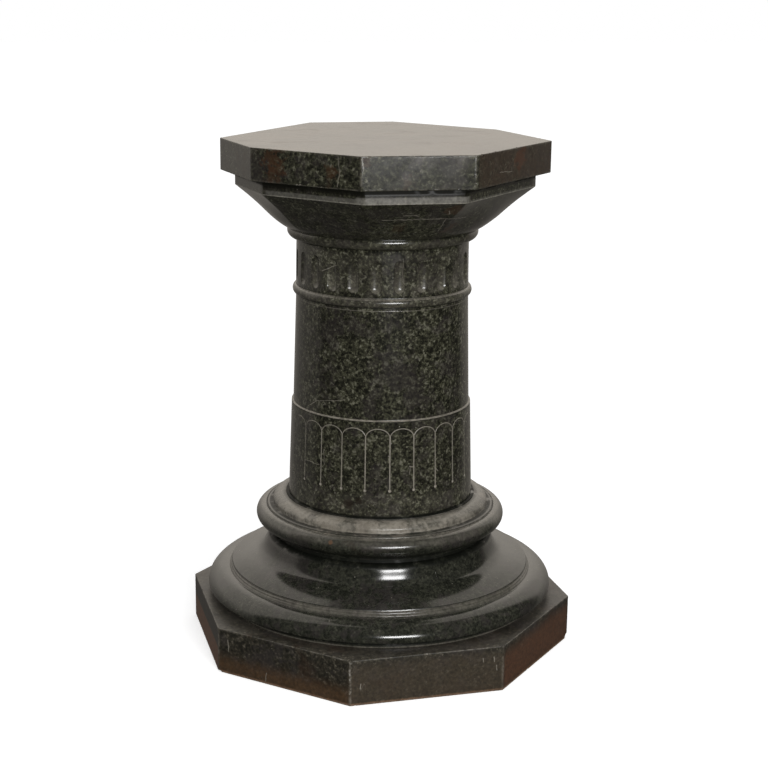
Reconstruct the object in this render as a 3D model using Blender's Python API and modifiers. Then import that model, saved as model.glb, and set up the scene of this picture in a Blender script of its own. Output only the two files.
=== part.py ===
"""Eight-sided pedestal of dark green marble, stacked from six sawn and turned stones.

Run with: blender --background --python part.py
Units are metres, +Z is up, and the origin is on the ground under the centre of the plinth.
"""

import math

import bmesh
import bpy
from mathutils import Matrix, Vector

# Every stone rests on the one below with this gap between the two faces
JOINT_GAP = 0.0003

# Plinth: a regular eight-sided slab
PLINTH_ACROSS_FLATS = 0.514
PLINTH_THICKNESS = 0.0645
PLINTH_EDGE = 0.0011

# Base moulding, from its seat on the plinth upwards
OVOLO_RADIUS = 0.2493
SEAT_SET_BACK = 0.0160
SEAT_HEIGHT = 0.0120
SOFFIT_RISE = 0.0013
OVOLO_PROJECTION = 0.0305
OVOLO_TOP_HEIGHT = 0.0222
OVOLO_TUCK = math.radians(7)
MOULDING_FILLET_HEIGHT = 0.0090
MOULDING_FILLET_BATTER = 0.0042
CYMA_HEIGHT = 0.0435
CYMA_ROLL_WIDTH = 0.0138
CYMA_ROLL_HEIGHT = 0.0172
CYMA_STEEPEST = math.radians(70)
CYMA_TOP_EASE = 0.8
CYMA_TURN_EASE = 0.6
CYMA_SPREAD = 0.0360
CYMA_FOOT_SLOPE = math.radians(26)
MOULDING_NECK_HEIGHT = 0.0045

# Torus ring, from its lip upwards
TORUS_RADIUS = 0.0125
TORUS_WIDEST_RADIUS = 0.1790
TORUS_TUCK = math.radians(72)
LIP_SET_BACK = 0.0245
LIP_HEIGHT = 0.0030
LIP_SOFFIT_RISE = 0.0078
RING_FILLET_HEIGHT = 0.0014
RING_FILLET_SET_BACK = 0.0017
RING_TREAD_RISE = 0.0016
CUSHION_SET_BACK = 0.0243
CUSHION_TUCK_HEIGHT = 0.0041
CUSHION_WIDTH = 0.0185
CUSHION_HEIGHT = 0.0095
RING_TOP_FILLET_HEIGHT = 0.0016
RING_TOP_LEDGE = 0.0030

# Shaft: lappet band, drum, bead and fluted neck
SHAFT_FOOT_RADIUS = 0.1320
BAND_TOP_RADIUS = 0.1277
BAND_HEIGHT = 0.1360
BAND_LEDGE = 0.0024
BAND_LEDGE_RISE = 0.0008
DRUM_HEIGHT = 0.1545
DRUM_TOP_RADIUS = 0.1212
BEAD_HEIGHT = 0.0125
BEAD_PROJECTION = 0.0047
NECK_HEIGHT = 0.0652
NECK_TOP_RADIUS = 0.1206
NECK_CHAMFER = 0.0012

# Carving on the shaft
FLUTE_COUNT = 24
FLUTE_TURN = math.radians(11.2)
FLUTE_WIDTH = 0.0172
FLUTE_HEIGHT = 0.0453
FLUTE_DEPTH = 0.0034
FLUTE_TOP_DROP = 0.0136
LAPPET_COUNT = 24
LAPPET_TURN = math.radians(5.9)
LAPPET_HEAD_DROP = 0.0107
LAPPET_HEAD_HEIGHT = 0.0124
LAPPET_LINE_RISE = 0.0380
HEAD_LINE_WIDTH = 0.0016
UPRIGHT_LINE_WIDTH = 0.0023
DRILL_WIDTH = 0.0042
DRILL_DEPTH = 0.0020
HEAD_ARC_REACH = math.radians(76)

# Capital: astragal, eight flared faces and the eight-sided fillet
ASTRAGAL_RADIUS = 0.1335
ASTRAGAL_PROJECTION = 0.0120
ASTRAGAL_HEIGHT = 0.0105
ASTRAGAL_ROLL = math.radians(24)
FLARE_HEIGHT = 0.0588
FLARE_BELLY = 0.85
CAPITAL_FILLET_HEIGHT = 0.0190

# Top slab: each hand-sawn corner's reach from the axis, and its direction in degrees from +X
SLAB_CORNERS = ((0.2308, -18.1), (0.2187, 26.0), (0.2553, 72.0), (0.2503, 101.8),
                (0.2246, 170.1), (0.2236, 204.7), (0.2373, 248.4), (0.2383, 284.6))
SLAB_THICKNESS = 0.0438
SLAB_OVERHANG = 0.0178
SLAB_EDGE = 0.0014

# How finely round forms are faceted
TURNED_STEPS = 48
SHAFT_STEPS = 48
POINTS_PER_FACE = 6
CURVE_STEPS = 5
LONG_CURVE_STEPS = 7
ARCH_STEPS = 6
FLUTE_TOOL_SIDES = 12
FLUTE_TOOL_RINGS = 8
DRILL_SIDES = 6
MERGE_DISTANCE = 0.00005
SMOOTH_ANGLE = math.radians(32)

MARBLE_GREEN = (0.030, 0.036, 0.028, 1.0)
MARBLE_BROWN = (0.052, 0.042, 0.030, 1.0)


def clear_scene():
    """Remove what the scene holds."""
    for item in list(bpy.data.objects):
        bpy.data.objects.remove(item, do_unlink=True)


def new_collection(name):
    """Add a collection to the scene."""
    collection = bpy.data.collections.new(name)
    bpy.context.scene.collection.children.link(collection)
    return collection


def marble(name, colour, roughness):
    """Polished stone of one colour."""
    material = bpy.data.materials.new(name)
    material.use_nodes = True
    shader = material.node_tree.nodes["Principled BSDF"]
    shader.inputs["Base Color"].default_value = colour
    shader.inputs["Roughness"].default_value = roughness
    shader.inputs["Metallic"].default_value = 0.0
    return material


def add_object(name, mesh, collection, material=None, height=0.0):
    """Place a mesh as an object standing at a height above the ground."""
    item = bpy.data.objects.new(name, mesh)
    collection.objects.link(item)
    item.location.z = height
    if material:
        mesh.materials.append(material)
        mesh.shade_smooth()
        mesh.set_sharp_from_angle(angle=SMOOTH_ANGLE)
    return item


def ellipse_arc(centre_radius, centre_height, width, height, start, end, steps=CURVE_STEPS):
    """Points of an elliptical moulding, as (radius, height), from one angle to another."""
    points = []
    for step in range(steps + 1):
        angle = start + (end - start) * step / steps
        points.append((centre_radius + width * math.cos(angle), centre_height + height * math.sin(angle)))
    return points


def cubic(start, start_handle, end_handle, end, steps):
    """Points of a cubic curve between two (radius, height) points."""
    points = []
    for step in range(steps + 1):
        t = step / steps
        weights = ((1 - t) ** 3, 3 * t * (1 - t) ** 2, 3 * t * t * (1 - t), t ** 3)
        corners = (start, start_handle, end_handle, end)
        points.append(tuple(sum(w * c[axis] for w, c in zip(weights, corners)) for axis in (0, 1)))
    return points


def turned(name, outline, steps, collection, material, height):
    """Turn an outline of (radius, height) points, from top to bottom, about the axis."""
    points = [(0.0, outline[0][1]), *outline, (0.0, outline[-1][1])]
    mesh = bpy.data.meshes.new(name)
    edges = [(i, i + 1) for i in range(len(points) - 1)]
    mesh.from_pydata([(radius, 0.0, z) for radius, z in points], edges, [])
    item = add_object(name, mesh, collection, height=height)
    mesh.materials.append(material)
    screw = item.modifiers.new("turn", "SCREW")
    screw.axis = "Z"
    screw.steps = steps
    screw.render_steps = steps
    screw.use_merge_vertices = True
    screw.merge_threshold = MERGE_DISTANCE
    screw.use_smooth_shade = True
    return item


def regular_corners(across_flats, count):
    """Corner points of a regular slab that has the middle of one face on +X."""
    reach = across_flats / 2 / math.cos(math.pi / count)
    turn = math.tau / count
    return [Vector((reach * math.cos((k + 0.5) * turn), reach * math.sin((k + 0.5) * turn)))
            for k in range(count)]


def slab_corners():
    """Corner points of the top slab."""
    return [Vector((reach * math.cos(math.radians(turn)), reach * math.sin(math.radians(turn))))
            for reach, turn in SLAB_CORNERS]


def outward(start, end):
    """Direction that a side faces, for corners that run anticlockwise."""
    return Vector((end.y - start.y, start.x - end.x)).normalized()


def set_in(corners, distance):
    """The same corners after every side is moved in by a distance."""
    moved = []
    for k, corner in enumerate(corners):
        before = outward(corners[k - 1], corner)
        after = outward(corner, corners[(k + 1) % len(corners)])
        moved.append(corner - (before + after) * distance / (1 + before.dot(after)))
    return moved


def sawn_slab(name, corners, thickness, edge, collection, material, height):
    """Saw a square block to a slab with the given corners and ease its edges."""
    block = bmesh.new()
    width = 3 * max(corner.length for corner in corners)
    bmesh.ops.create_cube(block, size=1.0)
    bmesh.ops.scale(block, vec=(width, width, thickness), verts=block.verts)
    bmesh.ops.translate(block, vec=(0, 0, thickness / 2), verts=block.verts)
    for k, corner in enumerate(corners):
        direction = outward(corner, corners[(k + 1) % len(corners)])
        everything = block.verts[:] + block.edges[:] + block.faces[:]
        cut = bmesh.ops.bisect_plane(block, geom=everything, plane_co=corner.to_3d(),
                                     plane_no=direction.to_3d(), clear_outer=True)
        rim = [e for e in cut["geom_cut"] if isinstance(e, bmesh.types.BMEdge)]
        bmesh.ops.contextual_create(block, geom=rim)
    mesh = bpy.data.meshes.new(name)
    bmesh.ops.recalc_face_normals(block, faces=block.faces)
    block.to_mesh(mesh)
    block.free()
    item = add_object(name, mesh, collection, material, height)
    bevel = item.modifiers.new("eased_edges", "BEVEL")
    bevel.width = edge
    bevel.segments = 1
    bevel.limit_method = "ANGLE"
    return item


def make_plinth(collection):
    """The bottom slab."""
    corners = regular_corners(PLINTH_ACROSS_FLATS, len(SLAB_CORNERS))
    material = marble("plinth_marble", MARBLE_BROWN, 0.35)
    sawn_slab("plinth", corners, PLINTH_THICKNESS, PLINTH_EDGE, collection, material, 0.0)
    return PLINTH_THICKNESS


def make_base_moulding(collection, height):
    """The wide turned moulding: seat, ovolo, fillet, cyma and neck."""
    seat_radius = OVOLO_RADIUS - SEAT_SET_BACK
    ovolo_centre = OVOLO_RADIUS - OVOLO_PROJECTION
    ovolo_low = SEAT_HEIGHT + SOFFIT_RISE
    ovolo_middle = ovolo_low + OVOLO_TOP_HEIGHT * math.sin(OVOLO_TUCK)
    ovolo_top = ovolo_middle + OVOLO_TOP_HEIGHT
    fillet_top = ovolo_top + MOULDING_FILLET_HEIGHT
    cyma_foot = (ovolo_centre - MOULDING_FILLET_BATTER, fillet_top)
    foot_handle = (cyma_foot[0] - CYMA_SPREAD * math.cos(CYMA_FOOT_SLOPE),
                   cyma_foot[1] + CYMA_SPREAD * math.sin(CYMA_FOOT_SLOPE))
    neck_radius = TORUS_WIDEST_RADIUS - LIP_SET_BACK - MOULDING_FILLET_BATTER / 2
    cyma_top = (neck_radius, fillet_top + CYMA_HEIGHT)
    cyma_turn = (neck_radius + CYMA_ROLL_WIDTH, cyma_top[1] - CYMA_ROLL_HEIGHT)
    lean = (CYMA_ROLL_HEIGHT * math.cos(CYMA_STEEPEST), CYMA_ROLL_HEIGHT * math.sin(CYMA_STEEPEST))
    roll_handles = ((neck_radius + CYMA_ROLL_WIDTH * CYMA_TOP_EASE, cyma_top[1]),
                    (cyma_turn[0] - lean[0] * CYMA_TURN_EASE, cyma_turn[1] + lean[1] * CYMA_TURN_EASE))
    total = cyma_top[1] + MOULDING_NECK_HEIGHT
    outline = [(neck_radius, total)]
    outline += cubic(cyma_top, *roll_handles, cyma_turn, CURVE_STEPS)[:-1]
    outline += cubic(cyma_turn, (cyma_turn[0] + lean[0], cyma_turn[1] - lean[1]),
                     foot_handle, cyma_foot, CURVE_STEPS)
    outline += ellipse_arc(ovolo_centre, ovolo_middle, OVOLO_PROJECTION, OVOLO_TOP_HEIGHT,
                           math.pi / 2, -OVOLO_TUCK)
    outline += [(seat_radius, SEAT_HEIGHT), (seat_radius, 0.0)]
    turned("base_moulding", outline, TURNED_STEPS, collection,
           marble("moulding_marble", MARBLE_GREEN, 0.18), height)
    return height + total


def make_torus_ring(collection, height):
    """The turned ring under the shaft: lip, torus, fillet and cushion."""
    lip_radius = TORUS_WIDEST_RADIUS - LIP_SET_BACK
    torus_centre = TORUS_WIDEST_RADIUS - TORUS_RADIUS
    torus_low = LIP_HEIGHT + LIP_SOFFIT_RISE
    torus_middle = torus_low + TORUS_RADIUS * math.sin(TORUS_TUCK)
    fillet_radius = torus_centre - RING_FILLET_SET_BACK
    fillet_top = torus_middle + TORUS_RADIUS + RING_FILLET_HEIGHT
    cushion_low = fillet_top + RING_TREAD_RISE
    cushion_middle = cushion_low + CUSHION_TUCK_HEIGHT
    cushion_radius = TORUS_WIDEST_RADIUS - CUSHION_SET_BACK
    cushion_centre = cushion_radius - CUSHION_WIDTH
    cushion_top = cushion_middle + CUSHION_HEIGHT
    total = cushion_top + RING_TOP_FILLET_HEIGHT
    top_radius = max(cushion_centre, SHAFT_FOOT_RADIUS + RING_TOP_LEDGE)
    outline = [(top_radius, total), (top_radius, cushion_top)]
    outline += [p for p in ellipse_arc(cushion_centre, cushion_middle, CUSHION_WIDTH, CUSHION_HEIGHT,
                                       math.pi / 2, 0.0) if p[0] > top_radius + MERGE_DISTANCE]
    outline += [(cushion_radius, cushion_low), (fillet_radius, fillet_top),
                (fillet_radius, fillet_top - RING_FILLET_HEIGHT)]
    outline += ellipse_arc(torus_centre, torus_middle, TORUS_RADIUS, TORUS_RADIUS,
                           math.pi / 2, -TORUS_TUCK, LONG_CURVE_STEPS)
    outline += [(lip_radius, LIP_HEIGHT), (lip_radius, 0.0)]
    turned("torus_ring", outline, TURNED_STEPS, collection,
           marble("ring_marble", MARBLE_GREEN, 0.22), height)
    return height + total


def shaft_radius(z):
    """Radius of the shaft's plain surface at a height above its foot."""
    drum_low = BAND_HEIGHT + BAND_LEDGE_RISE
    drum_high = drum_low + DRUM_HEIGHT
    if z <= BAND_HEIGHT:
        return SHAFT_FOOT_RADIUS + (BAND_TOP_RADIUS - SHAFT_FOOT_RADIUS) * z / BAND_HEIGHT
    if z <= drum_high:
        foot = BAND_TOP_RADIUS - BAND_LEDGE
        return foot + (DRUM_TOP_RADIUS - foot) * (z - drum_low) / DRUM_HEIGHT
    share = (z - drum_high - BEAD_HEIGHT) / NECK_HEIGHT
    return DRUM_TOP_RADIUS + (NECK_TOP_RADIUS - DRUM_TOP_RADIUS) * share


def on_shaft(angle, z, lift=0.0):
    """A point on the shaft's surface, or lifted off it."""
    radius = shaft_radius(z) + lift
    return Vector((radius * math.cos(angle), radius * math.sin(angle), z))


def cut_away(stone, name, item):
    """Take the cutter's shape out of a stone."""
    item.hide_render = True
    item.display_type = "WIRE"
    item.location = stone.location
    cut = stone.modifiers.new(name, "BOOLEAN")
    cut.operation = "DIFFERENCE"
    cut.solver = "EXACT"
    cut.object = item


def flute_cutter(name, top, cutters):
    """Round-ended fluting tools, one for each flute, side by side round the neck."""
    tool_radius = (FLUTE_WIDTH ** 2 / 4 + FLUTE_DEPTH ** 2) / (2 * FLUTE_DEPTH)
    half_straight = (FLUTE_HEIGHT - FLUTE_WIDTH) / 2
    middle = top - FLUTE_TOP_DROP - FLUTE_HEIGHT / 2
    tools = bmesh.new()
    for k in range(FLUTE_COUNT):
        made = bmesh.ops.create_uvsphere(tools, u_segments=FLUTE_TOOL_SIDES,
                                         v_segments=FLUTE_TOOL_RINGS, radius=tool_radius)
        ball = made["verts"]
        upper = [v for v in ball if v.co.z > MERGE_DISTANCE]
        lower = [v for v in ball if v.co.z < -MERGE_DISTANCE]
        waist = [v for v in ball if abs(v.co.z) <= MERGE_DISTANCE]
        bmesh.ops.translate(tools, vec=(0, 0, half_straight), verts=upper)
        bmesh.ops.translate(tools, vec=(0, 0, -half_straight), verts=lower)
        bmesh.ops.translate(tools, vec=(0, 0, half_straight), verts=waist)
        place = on_shaft(FLUTE_TURN + k * math.tau / FLUTE_COUNT, middle, tool_radius - FLUTE_DEPTH)
        turn = Matrix.Rotation(FLUTE_TURN + k * math.tau / FLUTE_COUNT, 4, "Z")
        bmesh.ops.transform(tools, matrix=Matrix.Translation(place) @ turn, verts=ball)
    mesh = bpy.data.meshes.new(name)
    tools.to_mesh(mesh)
    tools.free()
    return add_object(name, mesh, cutters)


def groove_cutter(name, routes, width, cutters):
    """Tubes along routes on the surface, as one mesh; half of each tube is under the surface."""
    curve = bpy.data.curves.new(name, "CURVE")
    curve.dimensions = "3D"
    curve.bevel_depth = width / 2
    curve.bevel_resolution = 0
    curve.use_fill_caps = True
    for route in routes:
        spline = curve.splines.new("POLY")
        spline.points.add(len(route) - 1)
        for point, place in zip(spline.points, route):
            point.co = (*place, 1.0)
    soft = bpy.data.objects.new(name + "_curve", curve)
    cutters.objects.link(soft)
    evaluated = soft.evaluated_get(bpy.context.evaluated_depsgraph_get())
    mesh = bpy.data.meshes.new_from_object(evaluated)
    bpy.data.objects.remove(soft, do_unlink=True)
    tubes = bmesh.new()
    tubes.from_mesh(mesh)
    bmesh.ops.remove_doubles(tubes, verts=tubes.verts, dist=MERGE_DISTANCE)
    bmesh.ops.recalc_face_normals(tubes, faces=tubes.faces)
    tubes.to_mesh(mesh)
    tubes.free()
    mesh.name = name
    return add_object(name, mesh, cutters)


def drill_cutter(name, z, cutters):
    """Small drilled stops at the feet of the lappet lines."""
    drills = bmesh.new()
    for k in range(LAPPET_COUNT):
        angle = LAPPET_TURN + k * math.tau / LAPPET_COUNT
        made = bmesh.ops.create_cone(drills, cap_ends=True, segments=DRILL_SIDES,
                                     radius1=DRILL_WIDTH / 4, radius2=DRILL_WIDTH / 2,
                                     depth=2 * DRILL_DEPTH)
        turn = Matrix.Rotation(angle, 4, "Z") @ Matrix.Rotation(math.pi / 2, 4, "Y")
        bmesh.ops.transform(drills, matrix=Matrix.Translation(on_shaft(angle, z)) @ turn,
                            verts=made["verts"])
    mesh = bpy.data.meshes.new(name)
    drills.to_mesh(mesh)
    drills.free()
    return add_object(name, mesh, cutters)


def lappet_routes():
    """Routes of the upright lines, and of the arched heads that join each to the next."""
    spacing = math.tau / LAPPET_COUNT
    spring = BAND_HEIGHT - LAPPET_HEAD_DROP - LAPPET_HEAD_HEIGHT
    crossing = spring + LAPPET_HEAD_HEIGHT * math.cos(HEAD_ARC_REACH)
    half_head = spacing / 2 - HEAD_LINE_WIDTH / 2 / BAND_TOP_RADIUS
    uprights, heads = [], []
    for k in range(LAPPET_COUNT):
        line_angle = LAPPET_TURN + k * spacing
        uprights.append([on_shaft(line_angle, LAPPET_LINE_RISE),
                         on_shaft(line_angle, crossing + HEAD_LINE_WIDTH / 2)])
        middle = line_angle + spacing / 2
        head = []
        for step in range(ARCH_STEPS + 1):
            t = -HEAD_ARC_REACH + 2 * HEAD_ARC_REACH * step / ARCH_STEPS
            aside = half_head * math.sin(t) / math.sin(HEAD_ARC_REACH)
            head.append(on_shaft(middle + aside, spring + LAPPET_HEAD_HEIGHT * math.cos(t)))
        heads.append(head)
    return uprights, heads


def make_shaft(collection, cutters, height):
    """The drum with its bead, flutes and lappets."""
    drum_low = BAND_HEIGHT + BAND_LEDGE_RISE
    bead_low = drum_low + DRUM_HEIGHT
    bead_middle = bead_low + BEAD_HEIGHT / 2
    neck_low = bead_low + BEAD_HEIGHT
    total = neck_low + NECK_HEIGHT
    outline = [(NECK_TOP_RADIUS - NECK_CHAMFER, total), (NECK_TOP_RADIUS, total - NECK_CHAMFER)]
    outline += ellipse_arc(DRUM_TOP_RADIUS, bead_middle, BEAD_PROJECTION, BEAD_HEIGHT / 2,
                           math.pi / 2, -math.pi / 2)
    outline += [(BAND_TOP_RADIUS - BAND_LEDGE, drum_low), (BAND_TOP_RADIUS, BAND_HEIGHT),
                (SHAFT_FOOT_RADIUS, 0.0)]
    shaft = turned("shaft", outline, SHAFT_STEPS, collection,
                   marble("shaft_marble", MARBLE_GREEN, 0.25), height)
    uprights, heads = lappet_routes()
    cut_away(shaft, "flutes", flute_cutter("flute_tools", total, cutters))
    cut_away(shaft, "uprights", groove_cutter("upright_tools", uprights, UPRIGHT_LINE_WIDTH, cutters))
    cut_away(shaft, "heads", groove_cutter("head_tools", heads, HEAD_LINE_WIDTH, cutters))
    cut_away(shaft, "drilled_stops", drill_cutter("drill_tools", LAPPET_LINE_RISE, cutters))
    return height + total


def capital_sections():
    """Closed sections of the capital from bottom to top, round below and eight-sided above."""
    corners = set_in(slab_corners(), SLAB_OVERHANG)
    angles, reaches = [], []
    for k, corner in enumerate(corners):
        after = corners[(k + 1) % len(corners)]
        for step in range(POINTS_PER_FACE):
            point = corner.lerp(after, step / POINTS_PER_FACE)
            angles.append(math.atan2(point.y, point.x))
            reaches.append(point.length)
    sections = []
    astragal_centre = ASTRAGAL_RADIUS - ASTRAGAL_PROJECTION
    for radius, z in ellipse_arc(astragal_centre, ASTRAGAL_HEIGHT, ASTRAGAL_PROJECTION,
                                 ASTRAGAL_HEIGHT, -math.pi / 2, ASTRAGAL_ROLL):
        sections.append([(radius * math.cos(a), radius * math.sin(a), z) for a in angles])
    flare_radius, flare_low = radius, z
    steps = CURVE_STEPS + 1
    for step in range(1, steps + 1):
        rise = step / steps
        spread = rise + FLARE_BELLY * rise * (1 - rise) ** 4
        section = []
        for angle, reach in zip(angles, reaches):
            out = flare_radius + (reach - flare_radius) * spread
            section.append((out * math.cos(angle), out * math.sin(angle), flare_low + FLARE_HEIGHT * rise))
        sections.append(section)
    top = flare_low + FLARE_HEIGHT + CAPITAL_FILLET_HEIGHT
    sections.append([(x, y, top) for x, y, _ in sections[-1]])
    return sections


def make_capital(collection, height):
    """The capital, lofted from the round astragal out to the eight-sided fillet."""
    sections = capital_sections()
    loft = bmesh.new()
    rings = [[loft.verts.new(point) for point in section] for section in sections]
    count = len(rings[0])
    for low, high in zip(rings, rings[1:]):
        for i in range(count):
            j = (i + 1) % count
            loft.faces.new((low[i], low[j], high[j], high[i]))
    loft.faces.new(rings[0][::-1])
    loft.faces.new(rings[-1])
    bmesh.ops.recalc_face_normals(loft, faces=loft.faces)
    mesh = bpy.data.meshes.new("capital")
    loft.to_mesh(mesh)
    loft.free()
    add_object("capital", mesh, collection, marble("capital_marble", MARBLE_GREEN, 0.25), height)
    return height + sections[-1][0][2]


def make_top_slab(collection, height):
    """The eight-sided slab on top."""
    material = marble("slab_marble", MARBLE_BROWN, 0.25)
    sawn_slab("top_slab", slab_corners(), SLAB_THICKNESS, SLAB_EDGE, collection, material, height)
    return height + SLAB_THICKNESS


def main():
    """Stack the six stones from the ground up."""
    clear_scene()
    stones = new_collection("marble_pedestal")
    cutters = new_collection("carving_tools")
    top = make_plinth(stones)
    top = make_base_moulding(stones, top + JOINT_GAP)
    top = make_torus_ring(stones, top + JOINT_GAP)
    top = make_shaft(stones, cutters, top + JOINT_GAP)
    top = make_capital(stones, top + JOINT_GAP)
    make_top_slab(stones, top + JOINT_GAP)


main()
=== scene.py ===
"""Eight-sided pedestal of dark green marble: six sawn and turned stones in a pale studio.

Every stone is modelled at its real size in metres, with +Z up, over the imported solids. The
turned stones are raised from a ring that is extruded and scaled, the slabs are sawn from a
block, and the carving and the chips are cut out with tools that are modelled once and copied.
"""

import logging
import math
from dataclasses import dataclass
from enum import Enum
from functools import cached_property
from typing import Callable, Sequence

import bmesh
import bpy
from mathutils import Matrix, Vector


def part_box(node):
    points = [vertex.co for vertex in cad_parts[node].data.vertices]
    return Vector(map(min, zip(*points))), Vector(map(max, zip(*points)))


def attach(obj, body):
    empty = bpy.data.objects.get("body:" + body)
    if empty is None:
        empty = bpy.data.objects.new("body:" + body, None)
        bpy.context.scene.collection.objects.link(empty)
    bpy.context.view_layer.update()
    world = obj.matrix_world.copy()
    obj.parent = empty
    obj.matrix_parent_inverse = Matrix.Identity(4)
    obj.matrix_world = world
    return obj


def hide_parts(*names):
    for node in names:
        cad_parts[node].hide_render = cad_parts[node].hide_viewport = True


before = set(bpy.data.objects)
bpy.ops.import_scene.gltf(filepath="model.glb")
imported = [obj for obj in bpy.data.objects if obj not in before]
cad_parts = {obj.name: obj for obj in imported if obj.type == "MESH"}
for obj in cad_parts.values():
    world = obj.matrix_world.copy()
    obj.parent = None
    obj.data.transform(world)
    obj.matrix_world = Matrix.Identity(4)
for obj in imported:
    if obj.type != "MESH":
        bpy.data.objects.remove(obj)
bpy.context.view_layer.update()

Point = tuple[float, float]
Colour = tuple[float, float, float, float]

BODY = "root"
MERGE = 0.00002
FULL_TURN = math.tau

log = logging.getLogger("pedestal")


class Slot(Enum):
    """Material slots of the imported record."""

    PLINTH = "plinth_marble"
    TURNED = "turned_marble"
    SHAFT = "shaft_marble"
    SLAB = "slab_marble"


# Modelling by hand


def only(item: bpy.types.Object) -> None:
    """Select one object alone and make it active.

    Args:
        item: The object to work on.
    """
    if bpy.context.mode != "OBJECT":
        bpy.ops.object.mode_set(mode="OBJECT")
    bpy.ops.object.select_all(action="DESELECT")
    item.select_set(True)
    bpy.context.view_layer.objects.active = item


def open_mesh(item: bpy.types.Object, kind: str = "VERT") -> None:
    """Go into edit mode on one object, with nothing selected.

    Args:
        item: The object to edit.
        kind: VERT, EDGE or FACE, the kind of element to select.
    """
    only(item)
    bpy.ops.object.mode_set(mode="EDIT")
    bpy.ops.mesh.select_mode(type=kind)
    bpy.ops.mesh.select_all(action="DESELECT")


def close_mesh() -> None:
    """Go back to object mode."""
    bpy.ops.object.mode_set(mode="OBJECT")


def pick(item: bpy.types.Object, kind: str, test: Callable[..., bool]) -> None:
    """Select the vertices, edges or faces that pass a test, in edit mode.

    Args:
        item: The object in edit mode.
        kind: verts, edges or faces.
        test: Called with each element; true selects it.
    """
    mesh = bmesh.from_edit_mesh(item.data)
    for element in getattr(mesh, kind):
        element.select_set(test(element))
    mesh.select_flush_mode()
    bmesh.update_edit_mesh(item.data)


def apply_modifier(item: bpy.types.Object, kind: str, **settings: object) -> None:
    """Add a modifier, set it and apply it.

    Args:
        item: The object to change.
        kind: Blender's name for the kind of modifier.
        **settings: The modifier's own settings.
    """
    only(item)
    modifier = item.modifiers.new(kind.lower(), kind)
    for key, value in settings.items():
        setattr(modifier, key, value)
    bpy.ops.object.modifier_apply(modifier=modifier.name)


def settle(item: bpy.types.Object) -> None:
    """Apply an object's place and turn, so that it sits untransformed at the origin."""
    only(item)
    bpy.ops.object.transform_apply(location=True, rotation=True, scale=True)


def finish_shell(item: bpy.types.Object, sharp: float = 38.0) -> None:
    """Merge doubles, point every face outwards and smooth all but the sharp edges.

    Args:
        item: The closed shell.
        sharp: Edges over this angle, in degrees, stay sharp.
    """
    open_mesh(item)
    bpy.ops.mesh.select_all(action="SELECT")
    bpy.ops.mesh.remove_doubles(threshold=MERGE)
    bpy.ops.mesh.normals_make_consistent(inside=False)
    close_mesh()
    bpy.ops.object.shade_smooth_by_angle(angle=math.radians(sharp))


def arc(centre: Point, width: float, height: float, start: float, end: float, steps: int) -> list[Point]:
    """Points of an elliptical moulding."""
    turns = [math.radians(start + (end - start) * i / steps) for i in range(steps + 1)]
    return [(centre[0] + width * math.cos(t), centre[1] + height * math.sin(t)) for t in turns]


def line(start: Point, end: Point, steps: int) -> list[Point]:
    """Evenly spaced points between two points, without the first."""
    return [(start[0] + (end[0] - start[0]) * i / steps, start[1] + (end[1] - start[1]) * i / steps)
            for i in range(1, steps + 1)]


def cubic(corners: Sequence[Point], steps: int) -> list[Point]:
    """Points of a cubic curve.

    Args:
        corners: The start, the two handles and the end.
        steps: Number of straight steps.

    Returns:
        The points, as radius and height.
    """
    points = []
    for i in range(steps + 1):
        t = i / steps
        weights = ((1 - t) ** 3, 3 * t * (1 - t) ** 2, 3 * t * t * (1 - t), t ** 3)
        points.append((sum(w * c[0] for w, c in zip(weights, corners)),
                       sum(w * c[1] for w, c in zip(weights, corners))))
    return points


def raise_turned(name: str, outline: Sequence[Point], base: float, steps: int) -> bpy.types.Object:
    """Raise a turned stone: a filled ring is extruded up and scaled at each point of its outline.

    Args:
        name: The stone's name.
        outline: Radius and height of each point, from the foot upwards.
        base: Height of the foot above the ground.
        steps: Number of sides of the ring.

    Returns:
        The closed stone.
    """
    bpy.ops.object.select_all(action="DESELECT")
    bpy.ops.mesh.primitive_circle_add(vertices=steps, radius=outline[0][0], fill_type="NGON")
    item = bpy.context.object
    item.name = name
    item.data.name = name
    bpy.ops.object.mode_set(mode="EDIT")
    bpy.ops.mesh.select_all(action="SELECT")
    bpy.ops.transform.translate(value=(0, 0, base + outline[0][1]))
    for (before, low), (radius, high) in zip(outline, outline[1:]):
        bpy.ops.mesh.extrude_region_move(TRANSFORM_OT_translate={"value": (0, 0, high - low)})
        growth = radius / before
        bpy.ops.transform.resize(value=(growth, growth, 1), center_override=(0, 0, base + high))
    close_mesh()
    return item


def outward(start: Sequence[float], end: Sequence[float]) -> Vector:
    """Direction that a side faces, for corners that run anticlockwise."""
    return Vector((end[1] - start[1], start[0] - end[0])).normalized()


def saw_block(corners: Sequence[Sequence[float]], base: float, height: float) -> bpy.types.Object:
    """Saw a block along each side of an outline, and leave it open for editing.

    Args:
        corners: The outline's corners, anticlockwise.
        base: Height of the block's foot above the ground.
        height: Height of the block.

    Returns:
        The sawn block, in edit mode.
    """
    width = 3 * max(Vector(corner).length for corner in corners)
    bpy.ops.object.select_all(action="DESELECT")
    bpy.ops.mesh.primitive_cube_add(size=1, location=(0, 0, base + height / 2), scale=(width, width, height))
    item = bpy.context.object
    settle(item)
    open_mesh(item)
    for k, corner in enumerate(corners):
        out = outward(corner, corners[(k + 1) % len(corners)])
        bpy.ops.mesh.select_all(action="SELECT")
        bpy.ops.mesh.bisect(plane_co=(*corner, 0), plane_no=(*out, 0), use_fill=True, clear_outer=True)
    return item


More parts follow.
